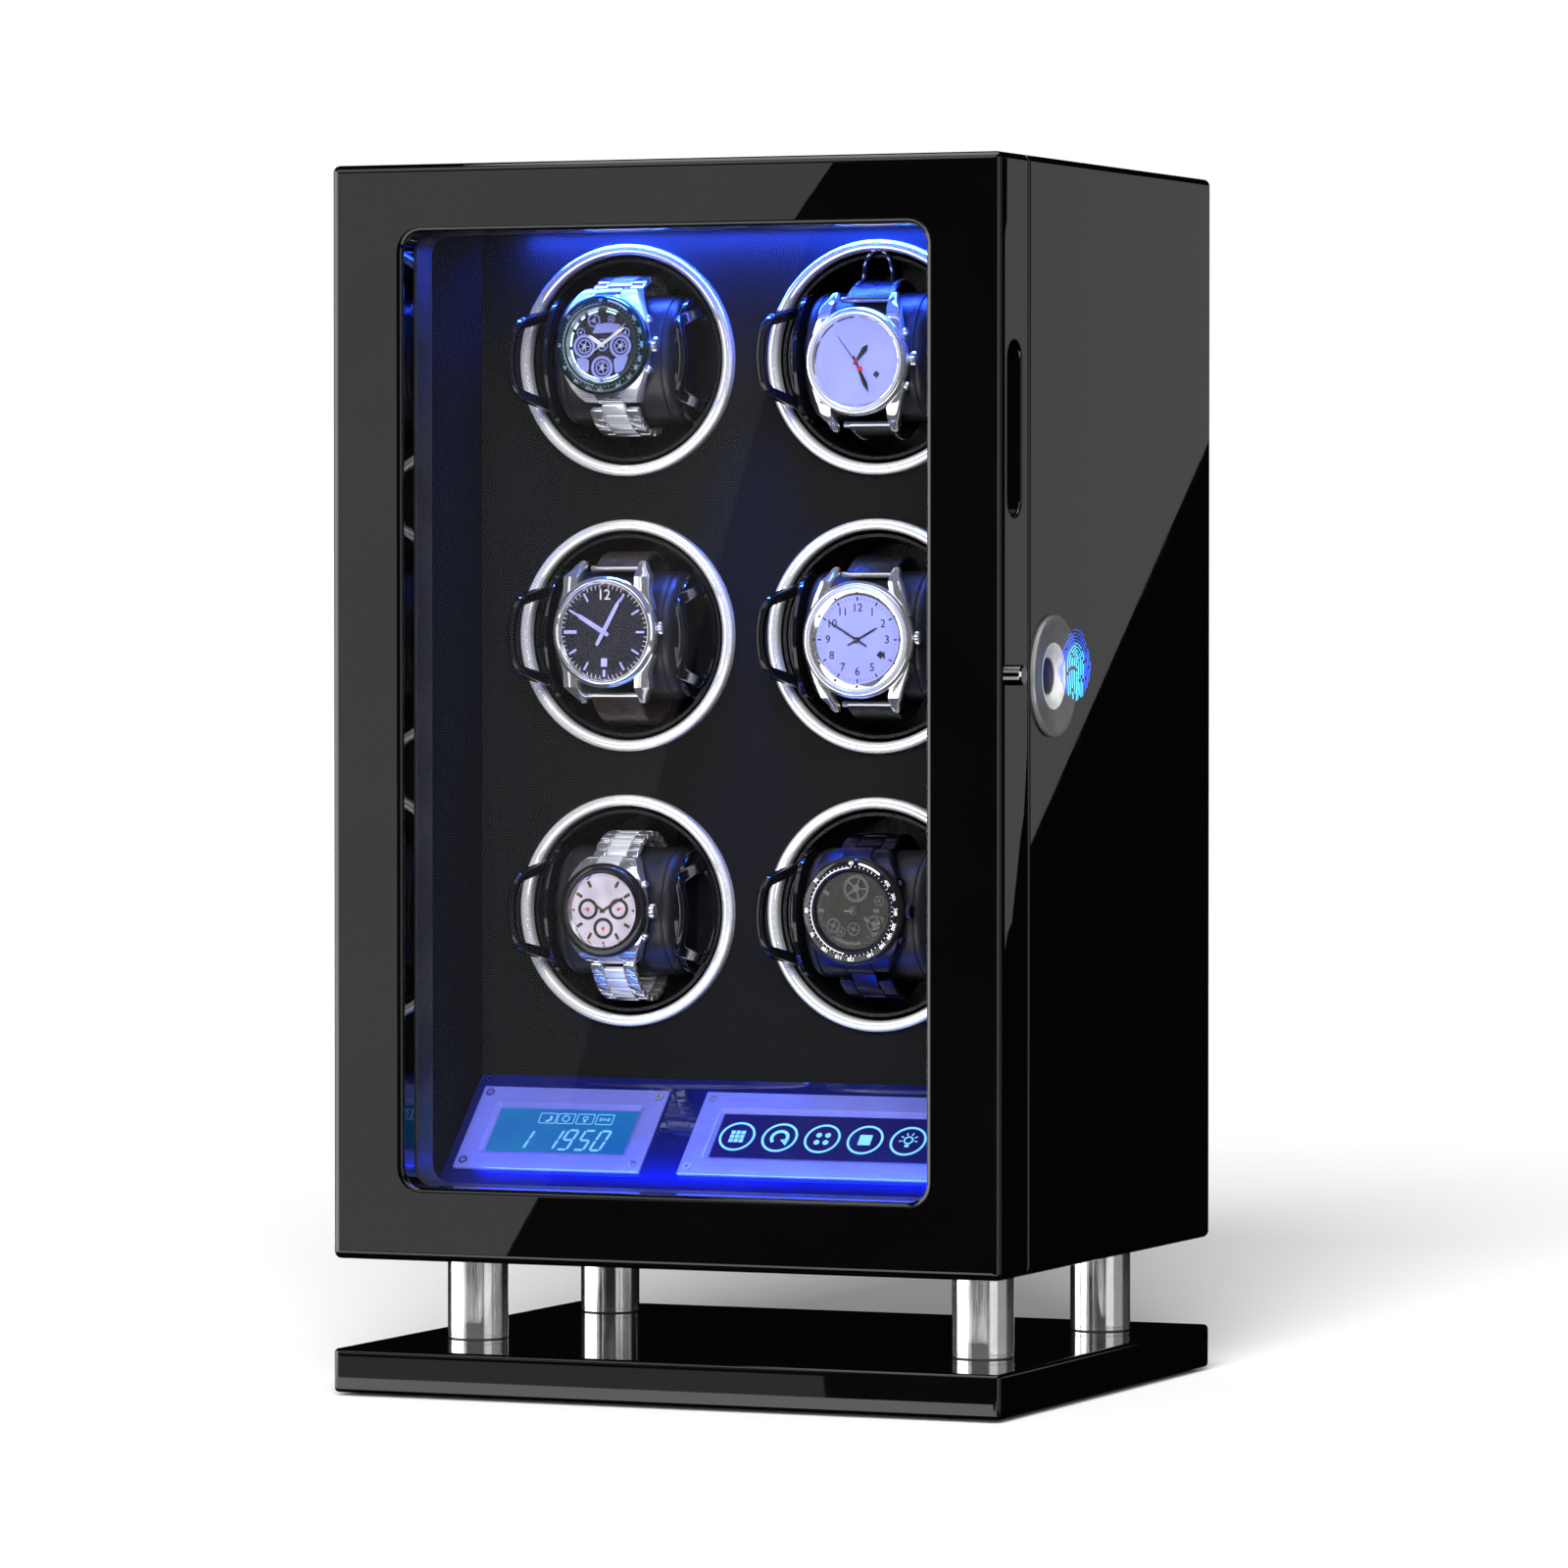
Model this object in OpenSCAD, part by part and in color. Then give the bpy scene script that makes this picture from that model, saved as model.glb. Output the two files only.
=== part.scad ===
// Watch winder box with six rotors, a glazed door, a control panel and a raised plinth.
// Millimetres. +Z is up, the door faces -Y, the origin is on the ground under the middle.

/* [Cabinet] */
// Width of the cabinet and of the plinth
cab_w = 262; // [256:1:272]
// Depth of the cabinet with its door
cab_d = 218; // [212:1:240]
// Height of the cabinet without its plinth
cab_h = 399; // [392:1:410]
// Thickness of the carcass walls
wall_t = 18; // [17:0.5:18.5]
// Thickness of the velvet lining boards
liner_t = 3; // [2:0.5:3]
// Thickness of the removable back panel
back_t = 3.4; // [3:0.2:3.6]

/* [Plinth] */
// Thickness of the plinth board
plinth_t = 16; // [14:1:24]
// Clear height between the plinth and the cabinet
plinth_gap = 33; // [28:1:45]
// Thickness of the felt pads under the plinth
pad_t = 1.5; // [1:0.5:3]
// Radius of the steel posts
post_r = 11.25; // [9:0.25:12]
// Distance of the post axes from the centre plane
post_x = 100.7; // [94:0.1:101]
// Place of the front posts along Y
post_front_y = -48; // [-60:1:-40]
// Place of the rear posts along Y
post_rear_y = 72; // [60:1:80]

/* [Door] */
// Thickness of the door
door_t = 28; // [27:0.5:29]
// Gap between the door and the carcass
seam = 0.6; // [0.4:0.1:1]
// Width of the window in the door
window_w = 205; // [200:1:207]
// Height of the bottom rail of the door
rail_bottom = 27; // [25:1:29]
// Height of the top rail of the door
rail_top = 25; // [23:1:28]
// Corner radius of the window
window_r = 7; // [4:0.5:10]
// Depth of the glass behind the front of the door
glass_setback = 10; // [8:0.5:11]
// Thickness of the glass
glass_t = 3; // [2.5:0.5:4]
// How far the frame holds the glass at its edge
glass_lap = 4.5; // [4:0.5:5]

/* [Finger slot and button] */
// Height of the finger slot in the edge of the door
slot_h = 63; // [50:1:70]
// Width of the finger slot
slot_w = 14.4; // [12:0.2:16]
// Depth of the finger slot
slot_depth = 10; // [8:0.5:12]
// Radius of the release button
button_r = 3.65; // [3:0.05:4]
// How far the release button stands out
button_out = 3.8; // [3:0.1:4]

/* [Rotors] */
// Distance of the rotor axes from the centre plane
rotor_x = 50; // [50:1:50]
// Height of the lowest rotor axis above the ground
rotor_z = 176; // [174:1:178]
// Distance between rows of rotors
rotor_pitch = 102; // [100:1:103]
// Inner radius of a rotor cup
cup_r = 36.3; // [36.2:0.1:36.6]
// Wall thickness of a rotor cup
cup_t = 1.2; // [1:0.1:1.4]
// Outer radius of a trim ring
ring_r = 43; // [42:0.5:45]
// Width of a trim ring's face
ring_w = 4.1; // [3.5:0.1:4.2]
// How far a trim ring stands in front of the rotor panel
ring_out = 4; // [3:0.5:5]

/* [Drive] */
// Module of the gear teeth
gear_m = 1.25; // [1.25:0.05:1.25]
// Teeth on the gear of each rotor cup
cup_teeth = 64; // [64:1:64]
// Teeth on each drive pinion
pinion_teeth = 16; // [16:1:16]
// Backlash at the pitch circle
gear_lash = 0.3; // [0.2:0.05:0.4]
// Radius of the stub axle of each rotor
axle_r = 4; // [3:0.5:5]
// Radial clearance of a running fit
fit = 0.05; // [0.03:0.01:0.08]

/* [Watch holders] */
// Length of a watch cushion
cushion_l = 50; // [46:1:50]
// Half height of a cushion
cushion_a = 24.5; // [22:0.5:25]
// Half depth of a cushion
cushion_b = 20; // [18:0.5:20]
// Depth of the cushion axis in front of the rotor datum
cushion_y = 21.5; // [20:0.5:22]
// Thickness of a watch band
band_t = 2.6; // [2:0.1:2.8]

/* [Control panel] */
// Slope of the control board from level
board_angle = 44; // [40:1:46]
// Length of the control board along its slope
board_l = 60; // [54:1:60]
// Thickness of the control board
board_t = 4; // [3:0.5:4]
// Width of the display bezel
lcd_w = 75.4; // [70:0.2:76]
// Width of the touch key bezel
touch_w = 121.6; // [110:0.2:122]
// Height of both bezels
bezel_h = 40.8; // [38:0.2:42]
// Thickness of both bezels
bezel_t = 1.5; // [1:0.1:2]

/* [Hidden] */
$fn = 64;
eps = 0.5; // overlap of shapes that are cut or joined

// Cabinet levels and faces
half_w = cab_w / 2;
half_d = cab_d / 2;
plinth_z = pad_t;
plinth_top = plinth_z + plinth_t;
cab_z0 = plinth_top + plinth_gap;
cab_z1 = cab_z0 + cab_h;
door_back = -half_d + door_t;
shell_front = door_back + seam;
cave_x = half_w - wall_t;
cave_z0 = cab_z0 + wall_t;
cave_z1 = cab_z1 - wall_t;
room_x = cave_x - liner_t;
room_z1 = cave_z1 - liner_t;
rebate = 6;
back_y = half_d - 1 - back_t;

// Window and glass
window_z0 = cab_z0 + rail_bottom;
window_z1 = cab_z1 - rail_top;
window_h = window_z1 - window_z0;
window_zc = (window_z0 + window_z1) / 2;
glass_y = -half_d + glass_setback;

// Rotor panel and board
panel_y = -24;
panel_t = 6;
board_z = 113.7;
bezel_s = 7;         // bezels start this far down the slope
lcd_x = -106;        // left edge of the display bezel
touch_x = -15.6;     // left edge of the touch bezel
window_edge = 9.6;   // width of the bezel round its window
display_lap = 1;     // how far a display reaches under its bezel

// Door edge fittings
edge_y = -half_d + 13.8;      // plane of the slot and the button
slot_z = cab_z1 - 97.6;
button_z = cab_z1 - 184.8;
button_bore = 12;
button_tail = 9;

// Lock
lock_y = -57.4;
lock_z = cab_z1 - 185.5;
lock_r = 22;
lock_out = 1.6;
lock_plug = 4;
latch_x = 122;
latch_w = 9.6;
latch_h = 23.6;
latch_back = -35;
bolt_w = 6;
bolt_h = 10;

// Hinges
hinge_x = -half_w - 1.5;
hinge_y = (door_back + shell_front) / 2;
hinge_z = [cab_z0 + 62, cab_z1 - 62];
hinge_h = 44;
knuckle_r = 2.5;
knuckle_half = 7.3;
hinge_pin_r = 1.2;
leaf_t = 1.2;
leaf_x1 = -117;

// Rotor drive, measured back from the datum plane Y = 0
cup_front = 25;
cup_floor = -12;
floor_t = 3;
gear_back = -21;
hub_r = 9;
hub_back = -33;
bore_end = -16;
chassis_y = 36;
chassis_t = 4;
bore_r = cup_r + cup_t + 1.1;
rotor_at = [for (row = [2, 1, 0]) for (side = [-1, 1]) [side * rotor_x, rotor_z + row * rotor_pitch]];
pressure = 20;

// Holder
cheek_x = 25.4;
cheek_t = 2.2;
holder_r = cup_r - 0.4;
plug_r = 11;

// Watch cases: diameter, height, band width
cases = [[38, 9, 20], [40, 9, 20], [41, 9, 20], [42, 9, 20], [36, 9, 18], [40, 9, 21]];

module block(a, b) {
  translate(a) cube(b - a);
}

// Puts a shape drawn in XY onto a vertical plane that faces -Y
module facing(x, z) {
  translate([x, 0, z]) rotate([90, 0, 0]) children();
}

// Puts a shape drawn in XY onto the sloping control board, with y pointing up the slope
module on_board() {
  translate([0, panel_y, board_z]) rotate([board_angle, 0, 0]) children();
}

module round_plate(w, h, r, t) {
  linear_extrude(t) {
    square([w, h - 2 * r], center = true);
    square([w - 2 * r, h], center = true);
    for (sx = [-1, 1], sy = [-1, 1])
      translate([sx * (w / 2 - r), sy * (h / 2 - r)]) circle(r);
  }
}

function ellipse(a, b, n = 48) = [for (i = [0:n - 1]) [a * cos(i * 360 / n), b * sin(i * 360 / n)]];

function inv(angle) = tan(angle) * 180 / PI - angle;

// Half of a tooth's angle at radius r on a gear of n teeth
function tooth_half(r, n) =
  let (rp = gear_m * n / 2, rb = rp * cos(pressure), at = acos(min(1, rb / r)))
  90 / n - gear_lash / (4 * rp) * 180 / PI + inv(pressure) - inv(at);

function gear_points(n, turn = 0) =
  let (rp = gear_m * n / 2, root = rp - 1.25 * gear_m, tip = rp + gear_m, rb = rp * cos(pressure))
  let (radii = [root, max(root, rb) + 0.2, rp + 0.2, tip])
  let (half = [for (r = radii) tooth_half(max(r, rb), n)])
  [for (i = [0:n - 1]) let (c = i * 360 / n + turn)
    each [
      for (k = [0:3]) radii[k] * [cos(c - half[k]), sin(c - half[k])],
      for (k = [3:-1:0]) radii[k] * [cos(c + half[k]), sin(c + half[k])]
    ]
  ];

// ---------------------------------------------------------------- cabinet

module hinge_cut(leaf_y0, leaf_y1) {
  for (z = hinge_z) {
    translate([hinge_x, hinge_y, z - hinge_h / 2 - 1]) cylinder(r = knuckle_r + 0.4, h = hinge_h + 2);
    block([hinge_x + 1.5, leaf_y0, z - hinge_h / 2 - 0.1], [leaf_x1 + 0.1, leaf_y1, z + hinge_h / 2 + 0.1]);
  }
}

module cabinet_shell() {
  color("#101012") difference() {
    block([-half_w, shell_front, cab_z0], [half_w, half_d, cab_z1]);
    block([-cave_x, shell_front - eps, cave_z0], [cave_x, half_d + eps, cave_z1]);
    block([-cave_x - rebate, back_y, cave_z0 - rebate], [cave_x + rebate, half_d + eps, cave_z1 + rebate]);
    // groove for the ceiling light bar
    block([-96, -38, cave_z1 - eps], [96, -28, cave_z1 + 5.4]);
    // mortise for the latch and bore for the lock
    block([latch_x - latch_w / 2 - 0.2, shell_front - eps, lock_z - latch_h / 2 - 0.2],
          [latch_x + latch_w / 2 + 0.2, latch_back, lock_z + latch_h / 2 + 0.2]);
    block([latch_x - 6, shell_front - eps, lock_z - 20], [latch_x + 6, shell_front + 1.4, lock_z + 20]);
    translate([latch_x, lock_y, lock_z]) rotate([0, 90, 0]) cylinder(r = 11, h = 20);
    hinge_cut(shell_front - eps, shell_front + leaf_t);
    for (x = [-post_x, post_x], y = [post_front_y, post_rear_y])
      translate([x, y, cab_z0 - eps]) cylinder(r = 3.1, h = wall_t + 2 * eps);
  }
}

module chamber_liner() {
  color("#17171a") difference() {
    union() {
      for (s = [0, 1]) mirror([s, 0, 0])
        block([-cave_x, shell_front, cave_z0], [-room_x, chassis_y, cave_z1]);
      block([-cave_x, shell_front, room_z1], [cave_x, panel_y + panel_t, cave_z1]);
    }
    block([-96, -36.5, room_z1 - eps], [96, -29.5, cave_z1 + eps]);
  }
}

back_screw_at = [for (x = [-cave_x - 3, cave_x + 3]) for (z = [cave_z0 + 12, cab_z0 + cab_h / 2, cave_z1 - 12]) [x, z]];
jack_at = [70, 98];

module back_panel() {
  color("#1b1b1d") difference() {
    block([-cave_x - rebate + 0.4, back_y, cave_z0 - rebate + 0.4],
          [cave_x + rebate - 0.4, back_y + back_t, cave_z1 + rebate - 0.4]);
    for (p = back_screw_at)
      translate([0, half_d + eps, 0]) facing(p[0], p[1]) cylinder(r = 1.6, h = 20);
    translate([0, half_d + eps, 0]) facing(jack_at[0], jack_at[1]) cylinder(r = 5.5, h = 20);
    // three rows of vent slots behind the motors
    for (row = [0:2], i = [-3:3])
      block([i * 9 - 2, back_y - eps, rotor_z + row * rotor_pitch - 12],
            [i * 9 + 2, half_d, rotor_z + row * rotor_pitch + 12]);
  }
}

bezel_screw_at = [
  for (b = [[lcd_x, lcd_w], [touch_x, touch_w]]) for (u = [3.4, b[1] - 3.4]) for (v = [3.4, bezel_h - 3.4])
    [b[0] + u, -bezel_s - v]
];

module panel_screws() {
  color("#b9bcc0") {
    for (p = back_screw_at) translate([0, back_y + back_t + 0.7, 0]) facing(p[0], p[1]) {
      cylinder(r = 2.8, h = 0.7);
      cylinder(r = 1.5, h = 0.7 + back_t);
    }
    on_board() for (p = bezel_screw_at) translate([p[0], p[1], -board_t]) {
      cylinder(r = 1, h = board_t + bezel_t + 0.3);
      translate([0, 0, board_t + bezel_t]) cylinder(r = 1.7, h = 0.6);
    }
  }
}

module rotor_panel() {
  color("#222225") difference() {
    block([-room_x, panel_y, board_z], [room_x, panel_y + panel_t, room_z1]);
    for (p = rotor_at) translate([0, panel_y + panel_t + eps, 0]) facing(p[0], p[1])
      cylinder(r = bore_r, h = panel_t + 2 * eps, $fn = 96);
  }
}

module trim_rings() {
  color("#e6e9ee") for (p = rotor_at) translate([0, panel_y, 0]) facing(p[0], p[1])
    rotate_extrude($fn = 96) polygon([
      [ring_r - ring_w, 0], [ring_r, 0], [ring_r, ring_out - 1.4], [ring_r - 1, ring_out - 0.2],
      [ring_r - ring_w / 2, ring_out], [ring_r - ring_w + 0.8, ring_out - 0.4], [ring_r - ring_w, ring_out - 1.4]
    ]);
}

// ---------------------------------------------------------------- control panel

module bezel_window(x, w, grow, z0, z1) {
  translate([x + window_edge - grow, -bezel_s - bezel_h + window_edge - grow, z0])
    cube([w - 2 * window_edge + 2 * grow, bezel_h - 2 * window_edge + 2 * grow, z1 - z0]);
}

module control_board() {
  color("#0d0d16") on_board() difference() {
    translate([-room_x, -board_l, -board_t]) cube([2 * room_x, board_l, board_t]);
    bezel_window(lcd_x, lcd_w, display_lap + 0.5, -board_t - eps, eps);
    bezel_window(touch_x, touch_w, display_lap + 0.5, -board_t - eps, eps);
    for (p = bezel_screw_at) translate([p[0], p[1], -board_t - eps]) cylinder(r = 1.05, h = board_t + 2 * eps);
  }
}

module bezel(x, w) {
  on_board() difference() {
    translate([x, -bezel_s - bezel_h, 0]) cube([w, bezel_h, bezel_t]);
    bezel_window(x, w, 0, -eps, bezel_t + eps);
    for (p = bezel_screw_at) translate([p[0], p[1], -eps]) cylinder(r = 1.05, h = bezel_t + 2 * eps);
  }
}

module lcd_bezel() {
  color("#a9abc6") bezel(lcd_x, lcd_w);
}

module touch_bezel() {
  color("#a9abc6") bezel(touch_x, touch_w);
}

module lcd_module() {
  color("#2f8fd8") on_board() bezel_window(lcd_x, lcd_w, display_lap, -8, 0);
}

module touch_panel() {
  color("#0b0f6e") on_board() bezel_window(touch_x, touch_w, display_lap, -6, 0);
}

// ---------------------------------------------------------------- lights

module led_light_bars() {
  color("#9ea2a8") {
    difference() {
      block([-95.5, -37.7, cave_z1 + 0.2], [95.5, -28.3, cave_z1 + 5.2]);
      block([-94.5, -36.2, cave_z1 - eps], [94.5, -29.8, cave_z1 + 3.6]);
    }
    difference() {
      block([-100, -79, cave_z0], [100, -69.5, cave_z0 + 4]);
      block([-99, -77.2, cave_z0 + 1.4], [99, -71.4, cave_z0 + 5]);
    }
  }
}

module led_diffusers() {
  color("#4466ff") {
    block([-94.4, -36, room_z1 + 0.2], [94.4, -30, cave_z1 + 3.4]);
    block([-98.8, -77, cave_z0 + 1.6], [98.8, -71.6, cave_z0 + 4.6]);
  }
}

// ---------------------------------------------------------------- plinth

module base_plate() {
  color("#0c0c0e") difference() {
    block([-half_w, -half_d, plinth_z], [half_w, half_d, plinth_top]);
    for (x = [-post_x, post_x], y = [post_front_y, post_rear_y]) translate([x, y, plinth_z - eps]) {
      cylinder(r = 3.1, h = plinth_t + 2 * eps);
      cylinder(r = 6, h = 4.5);
    }
  }
}

module support_posts() {
  color("#c8cacc") for (x = [-post_x, post_x], y = [post_front_y, post_rear_y])
    translate([x, y, plinth_top]) difference() {
      cylinder(r = post_r, h = plinth_gap, $fn = 96);
      translate([0, 0, -eps]) cylinder(r = 3.05, h = 12 + eps);
      translate([0, 0, plinth_gap - 12]) cylinder(r = 3.05, h = 12 + eps);
    }
}

module post_bolts() {
  color("#7d8084") for (x = [-post_x, post_x], y = [post_front_y, post_rear_y]) {
    translate([x, y, plinth_z + 0.8]) cylinder(r = 5, h = 3.2);
    translate([x, y, plinth_z + 0.8]) cylinder(r = 3, h = plinth_t + 10);
    translate([x, y, cave_z0]) cylinder(r = 5, h = 3.2);
    translate([x, y, cave_z0 - wall_t - 11]) cylinder(r = 3, h = wall_t + 12);
  }
}

module base_pads() {
  color("#303032") for (x = [-108, 108], y = [-86, 86]) translate([x, y, 0]) cylinder(r = 10, h = pad_t);
}

// ---------------------------------------------------------------- drive

module drive_chassis() {
  color("#5b5e63") difference() {
    union() {
      block([-cave_x, chassis_y, 104], [cave_x, chassis_y + chassis_t, cave_z1]);
      for (p = rotor_at) translate([0, chassis_y, 0]) facing(p[0], p[1])
        cylinder(r = axle_r, h = chassis_y + bore_end - 1);
    }
    for (row = [0:2]) translate([0, chassis_y + chassis_t + eps, 0]) facing(0, rotor_z + row * rotor_pitch)
      cylinder(r = 3.5, h = chassis_t + 2 * eps);
  }
}

module gear_motors() {
  color("#8c8f94") for (row = [0:2]) translate([0, chassis_y + chassis_t, rotor_z + row * rotor_pitch])
    rotate([-90, 0, 0]) difference() {
      union() {
        cylinder(r = 13.5, h = 18);
        cylinder(r = 12, h = 44);
        translate([-4, -5, 43]) cube([2, 10, 4]);
        translate([2, -5, 43]) cube([2, 10, 4]);
      }
      translate([0, 0, -eps]) cylinder(r = 2 + fit, h = 13 + eps);
    }
}

module drive_pinion(row) {
  color("#d8d2b8") facing(0, rotor_z + row * rotor_pitch) {
    translate([0, 0, gear_back]) linear_extrude(6) polygon(gear_points(pinion_teeth, 180 / pinion_teeth));
    translate([0, 0, -chassis_y - chassis_t - 11]) cylinder(r = 2, h = chassis_y + chassis_t + 11 + gear_back + 3);
  }
}

module drive_pinion_top() {
  drive_pinion(2);
}

module drive_pinion_middle() {
  drive_pinion(1);
}

module drive_pinion_bottom() {
  drive_pinion(0);
}

module circuit_board() {
  color("#14522f") {
    block([-55, 48, 78], [45, 96, 79.6]);
    block([-46, 56, 79.5], [-28, 74, 82.5]);
    block([-16, 82, 79.5], [14, 92, 87]);
    block([20, 56, 79.5], [36, 70, 84]);
    for (x = [-12, 2]) translate([x, 62, 79.5]) cylinder(r = 4, h = 12);
  }
  // standoffs
  color("#c9b26a") for (x = [-51, 41], y = [52, 92]) translate([x, y, cave_z0]) cylinder(r = 2.5, h = 78 - cave_z0);
}

module dc_jack() {
  color("#2a2a2c") translate([0, back_y + back_t, 0]) facing(jack_at[0], jack_at[1]) {
    difference() {
      union() {
        translate([0, 0, -0.8]) cylinder(r = 7, h = 0.8);
        translate([0, 0, -0.1]) cylinder(r = 5.4, h = 14);
      }
      translate([0, 0, -1.5]) cylinder(r = 3.1, h = 12);
    }
    translate([0, 0, 0]) cylinder(r = 1, h = 12);
  }
}

// ---------------------------------------------------------------- lock

module lock_escutcheon() {
  color("#8f9399") translate([half_w, lock_y, lock_z]) rotate([0, 90, 0]) rotate_extrude($fn = 96) polygon([
    [6.4, -lock_plug], [10.6, -lock_plug], [10.6, 0], [lock_r, 0], [lock_r, lock_out - 0.5], [lock_r - 0.5, lock_out],
    [lock_r - 2, lock_out], [12.8, 0.9], [12.1, 0.6], [10.6, 0.3], [6.4, -2.1]
  ]);
}

module fingerprint_sensor() {
  color("#060607") translate([half_w, lock_y, lock_z]) rotate([0, 90, 0]) translate([0, 0, -lock_plug]) {
    cylinder(r = 6.2, h = lock_plug - 2.3);
  }
}

module latch_body() {
  color("#74787d") difference() {
    union() {
      block([latch_x - latch_w / 2, shell_front + 1.2, lock_z - latch_h / 2],
            [latch_x + latch_w / 2, latch_back - 0.4, lock_z + latch_h / 2]);
      block([latch_x - 5.8, shell_front, lock_z - 19.8], [latch_x + 5.8, shell_front + 1.4, lock_z + 19.8]);
    }
    block([latch_x - bolt_w / 2 - 0.2, shell_front - eps, lock_z - bolt_h / 2 - 0.2],
          [latch_x + bolt_w / 2 + 0.2, shell_front + 32, lock_z + bolt_h / 2 + 0.2]);
  }
}

module latch_bolt() {
  color("#d5d7da") block([latch_x - bolt_w / 2, shell_front + 0.2, lock_z - bolt_h / 2],
                         [latch_x + bolt_w / 2, shell_front + 30, lock_z + bolt_h / 2]);
}

// ---------------------------------------------------------------- hinges

module knuckle(z, z0, z1) {
  translate([hinge_x, hinge_y, z + z0]) difference() {
    cylinder(r = knuckle_r, h = z1 - z0);
    translate([0, 0, -eps]) cylinder(r = hinge_pin_r + fit, h = z1 - z0 + 2 * eps);
  }
}

module cabinet_hinge_leaves() {
  color("#c6b98f") for (z = hinge_z) {
    block([hinge_x + 3.3, shell_front, z - hinge_h / 2], [leaf_x1, shell_front + leaf_t, z + hinge_h / 2]);
    for (s = [[-hinge_h / 2, -knuckle_half - 0.2], [knuckle_half + 0.2, hinge_h / 2]]) {
      knuckle(z, s[0], s[1]);
      block([hinge_x + 1.7, shell_front, z + s[0]], [hinge_x + 3.5, shell_front + leaf_t, z + s[1]]);
    }
  }
}

module door_hinge_leaves() {
  color("#c6b98f") for (z = hinge_z) {
    block([hinge_x + 3.3, door_back - leaf_t, z - hinge_h / 2], [leaf_x1, door_back, z + hinge_h / 2]);
    knuckle(z, -knuckle_half, knuckle_half);
    block([hinge_x + 1.7, door_back - leaf_t, z - knuckle_half], [hinge_x + 3.5, door_back, z + knuckle_half]);
  }
}

module hinge_pins() {
  color("#d9d9d9") for (z = hinge_z) {
    translate([hinge_x, hinge_y, z - hinge_h / 2]) cylinder(r = hinge_pin_r, h = hinge_h);
    translate([hinge_x, hinge_y, z + hinge_h / 2]) cylinder(r = 2.2, h = 1);
  }
}

// ---------------------------------------------------------------- door

module door_frame() {
  color("#0b0b0d") difference() {
    block([-half_w, -half_d, cab_z0], [half_w, door_back, cab_z1]);
    translate([0, door_back + eps, 0]) facing(0, window_zc) round_plate(window_w, window_h, window_r, door_t + 2 * eps);
    translate([0, door_back + eps, 0]) facing(0, window_zc)
      round_plate(window_w + 2 * glass_lap + 0.6, window_h + 2 * glass_lap + 0.6, window_r + glass_lap,
                  door_t - glass_setback + eps);
    // finger slot
    translate([half_w - slot_depth, edge_y, slot_z]) rotate([90, 0, 90])
      round_plate(slot_w, slot_h, slot_w / 2 - 0.01, slot_depth + eps);
    // bore of the release button
    translate([half_w - button_bore, edge_y, button_z]) rotate([0, 90, 0]) cylinder(r = button_r + fit, h = button_bore + eps);
    // strike
    block([latch_x - 6, door_back - 1.2, lock_z - 15], [latch_x + 6, door_back + eps, lock_z + 15]);
    block([latch_x - 4, door_back - 7, lock_z - 6.5], [latch_x + 4, door_back + eps, lock_z + 6.5]);
    hinge_cut(door_back - leaf_t, door_back + eps);
  }
}

module door_glass() {
  color("#a9c4e8", 0.35) translate([0, glass_y + glass_t, 0]) facing(0, window_zc)
    round_plate(window_w + 2 * glass_lap, window_h + 2 * glass_lap, window_r + glass_lap, glass_t);
}

module glass_retainer() {
  color("#151517") translate([0, door_back - 1.5, 0]) facing(0, window_zc) difference() {
    round_plate(window_w + 2 * glass_lap, window_h + 2 * glass_lap, window_r + glass_lap,
                door_t - glass_setback - glass_t - 1.5);
    translate([0, 0, -eps]) round_plate(window_w, window_h, window_r, door_t);
  }
}

module strike_plate() {
  color("#c9cbce") difference() {
    block([latch_x - 5.8, door_back - 1.2, lock_z - 14.8], [latch_x + 5.8, door_back, lock_z + 14.8]);
    block([latch_x - 3.5, door_back - 2, lock_z - 5.6], [latch_x + 3.5, door_back + eps, lock_z + 5.6]);
  }
}

module release_button() {
  color("#d7dadd") translate([half_w - button_tail, edge_y, button_z]) rotate([0, 90, 0]) rotate_extrude() polygon([
    [0, 0], [button_r, 0], [button_r, button_tail + button_out - 0.6], [button_r - 0.6, button_tail + button_out],
    [0, button_tail + button_out]
  ]);
}

// ---------------------------------------------------------------- rotors

module rotor_cup(i) {
  color("#141416") facing(rotor_at[i - 1][0], rotor_at[i - 1][1]) {
    rotate_extrude($fn = 96) polygon([
      [0, cup_floor], [plug_r + 0.3, cup_floor], [plug_r + 0.3, cup_floor + 5], [plug_r + 3, cup_floor + 5],
      [plug_r + 3, cup_floor], [cup_r, cup_floor], [cup_r, cup_front], [cup_r + cup_t, cup_front],
      [cup_r + cup_t, cup_floor - floor_t], [hub_r, cup_floor - floor_t], [hub_r, hub_back],
      [axle_r + fit, hub_back], [axle_r + fit, bore_end], [0, bore_end]
    ]);
    translate([0, 0, gear_back]) linear_extrude(cup_floor - floor_t - gear_back + 0.5) difference() {
      polygon(gear_points(cup_teeth));
      circle(r = cup_r - 2.5);
    }
  }
}

// Outline of the holder's front flange: the cup's circle with its top and bottom cut off
module flange_outline() {
  intersection() {
    circle(r = holder_r, $fn = 96);
    polygon([
      for (s = [[1, 1], [-1, 1], [-1, -1], [1, -1]])
        each (s[0] * s[1] > 0 ? [[s[0] * 38, s[1] * 17], [s[0] * 26.5, s[1] * 24.5]]
                              : [[s[0] * 26.5, s[1] * 24.5], [s[0] * 38, s[1] * 17]])
    ]);
  }
}

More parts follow.
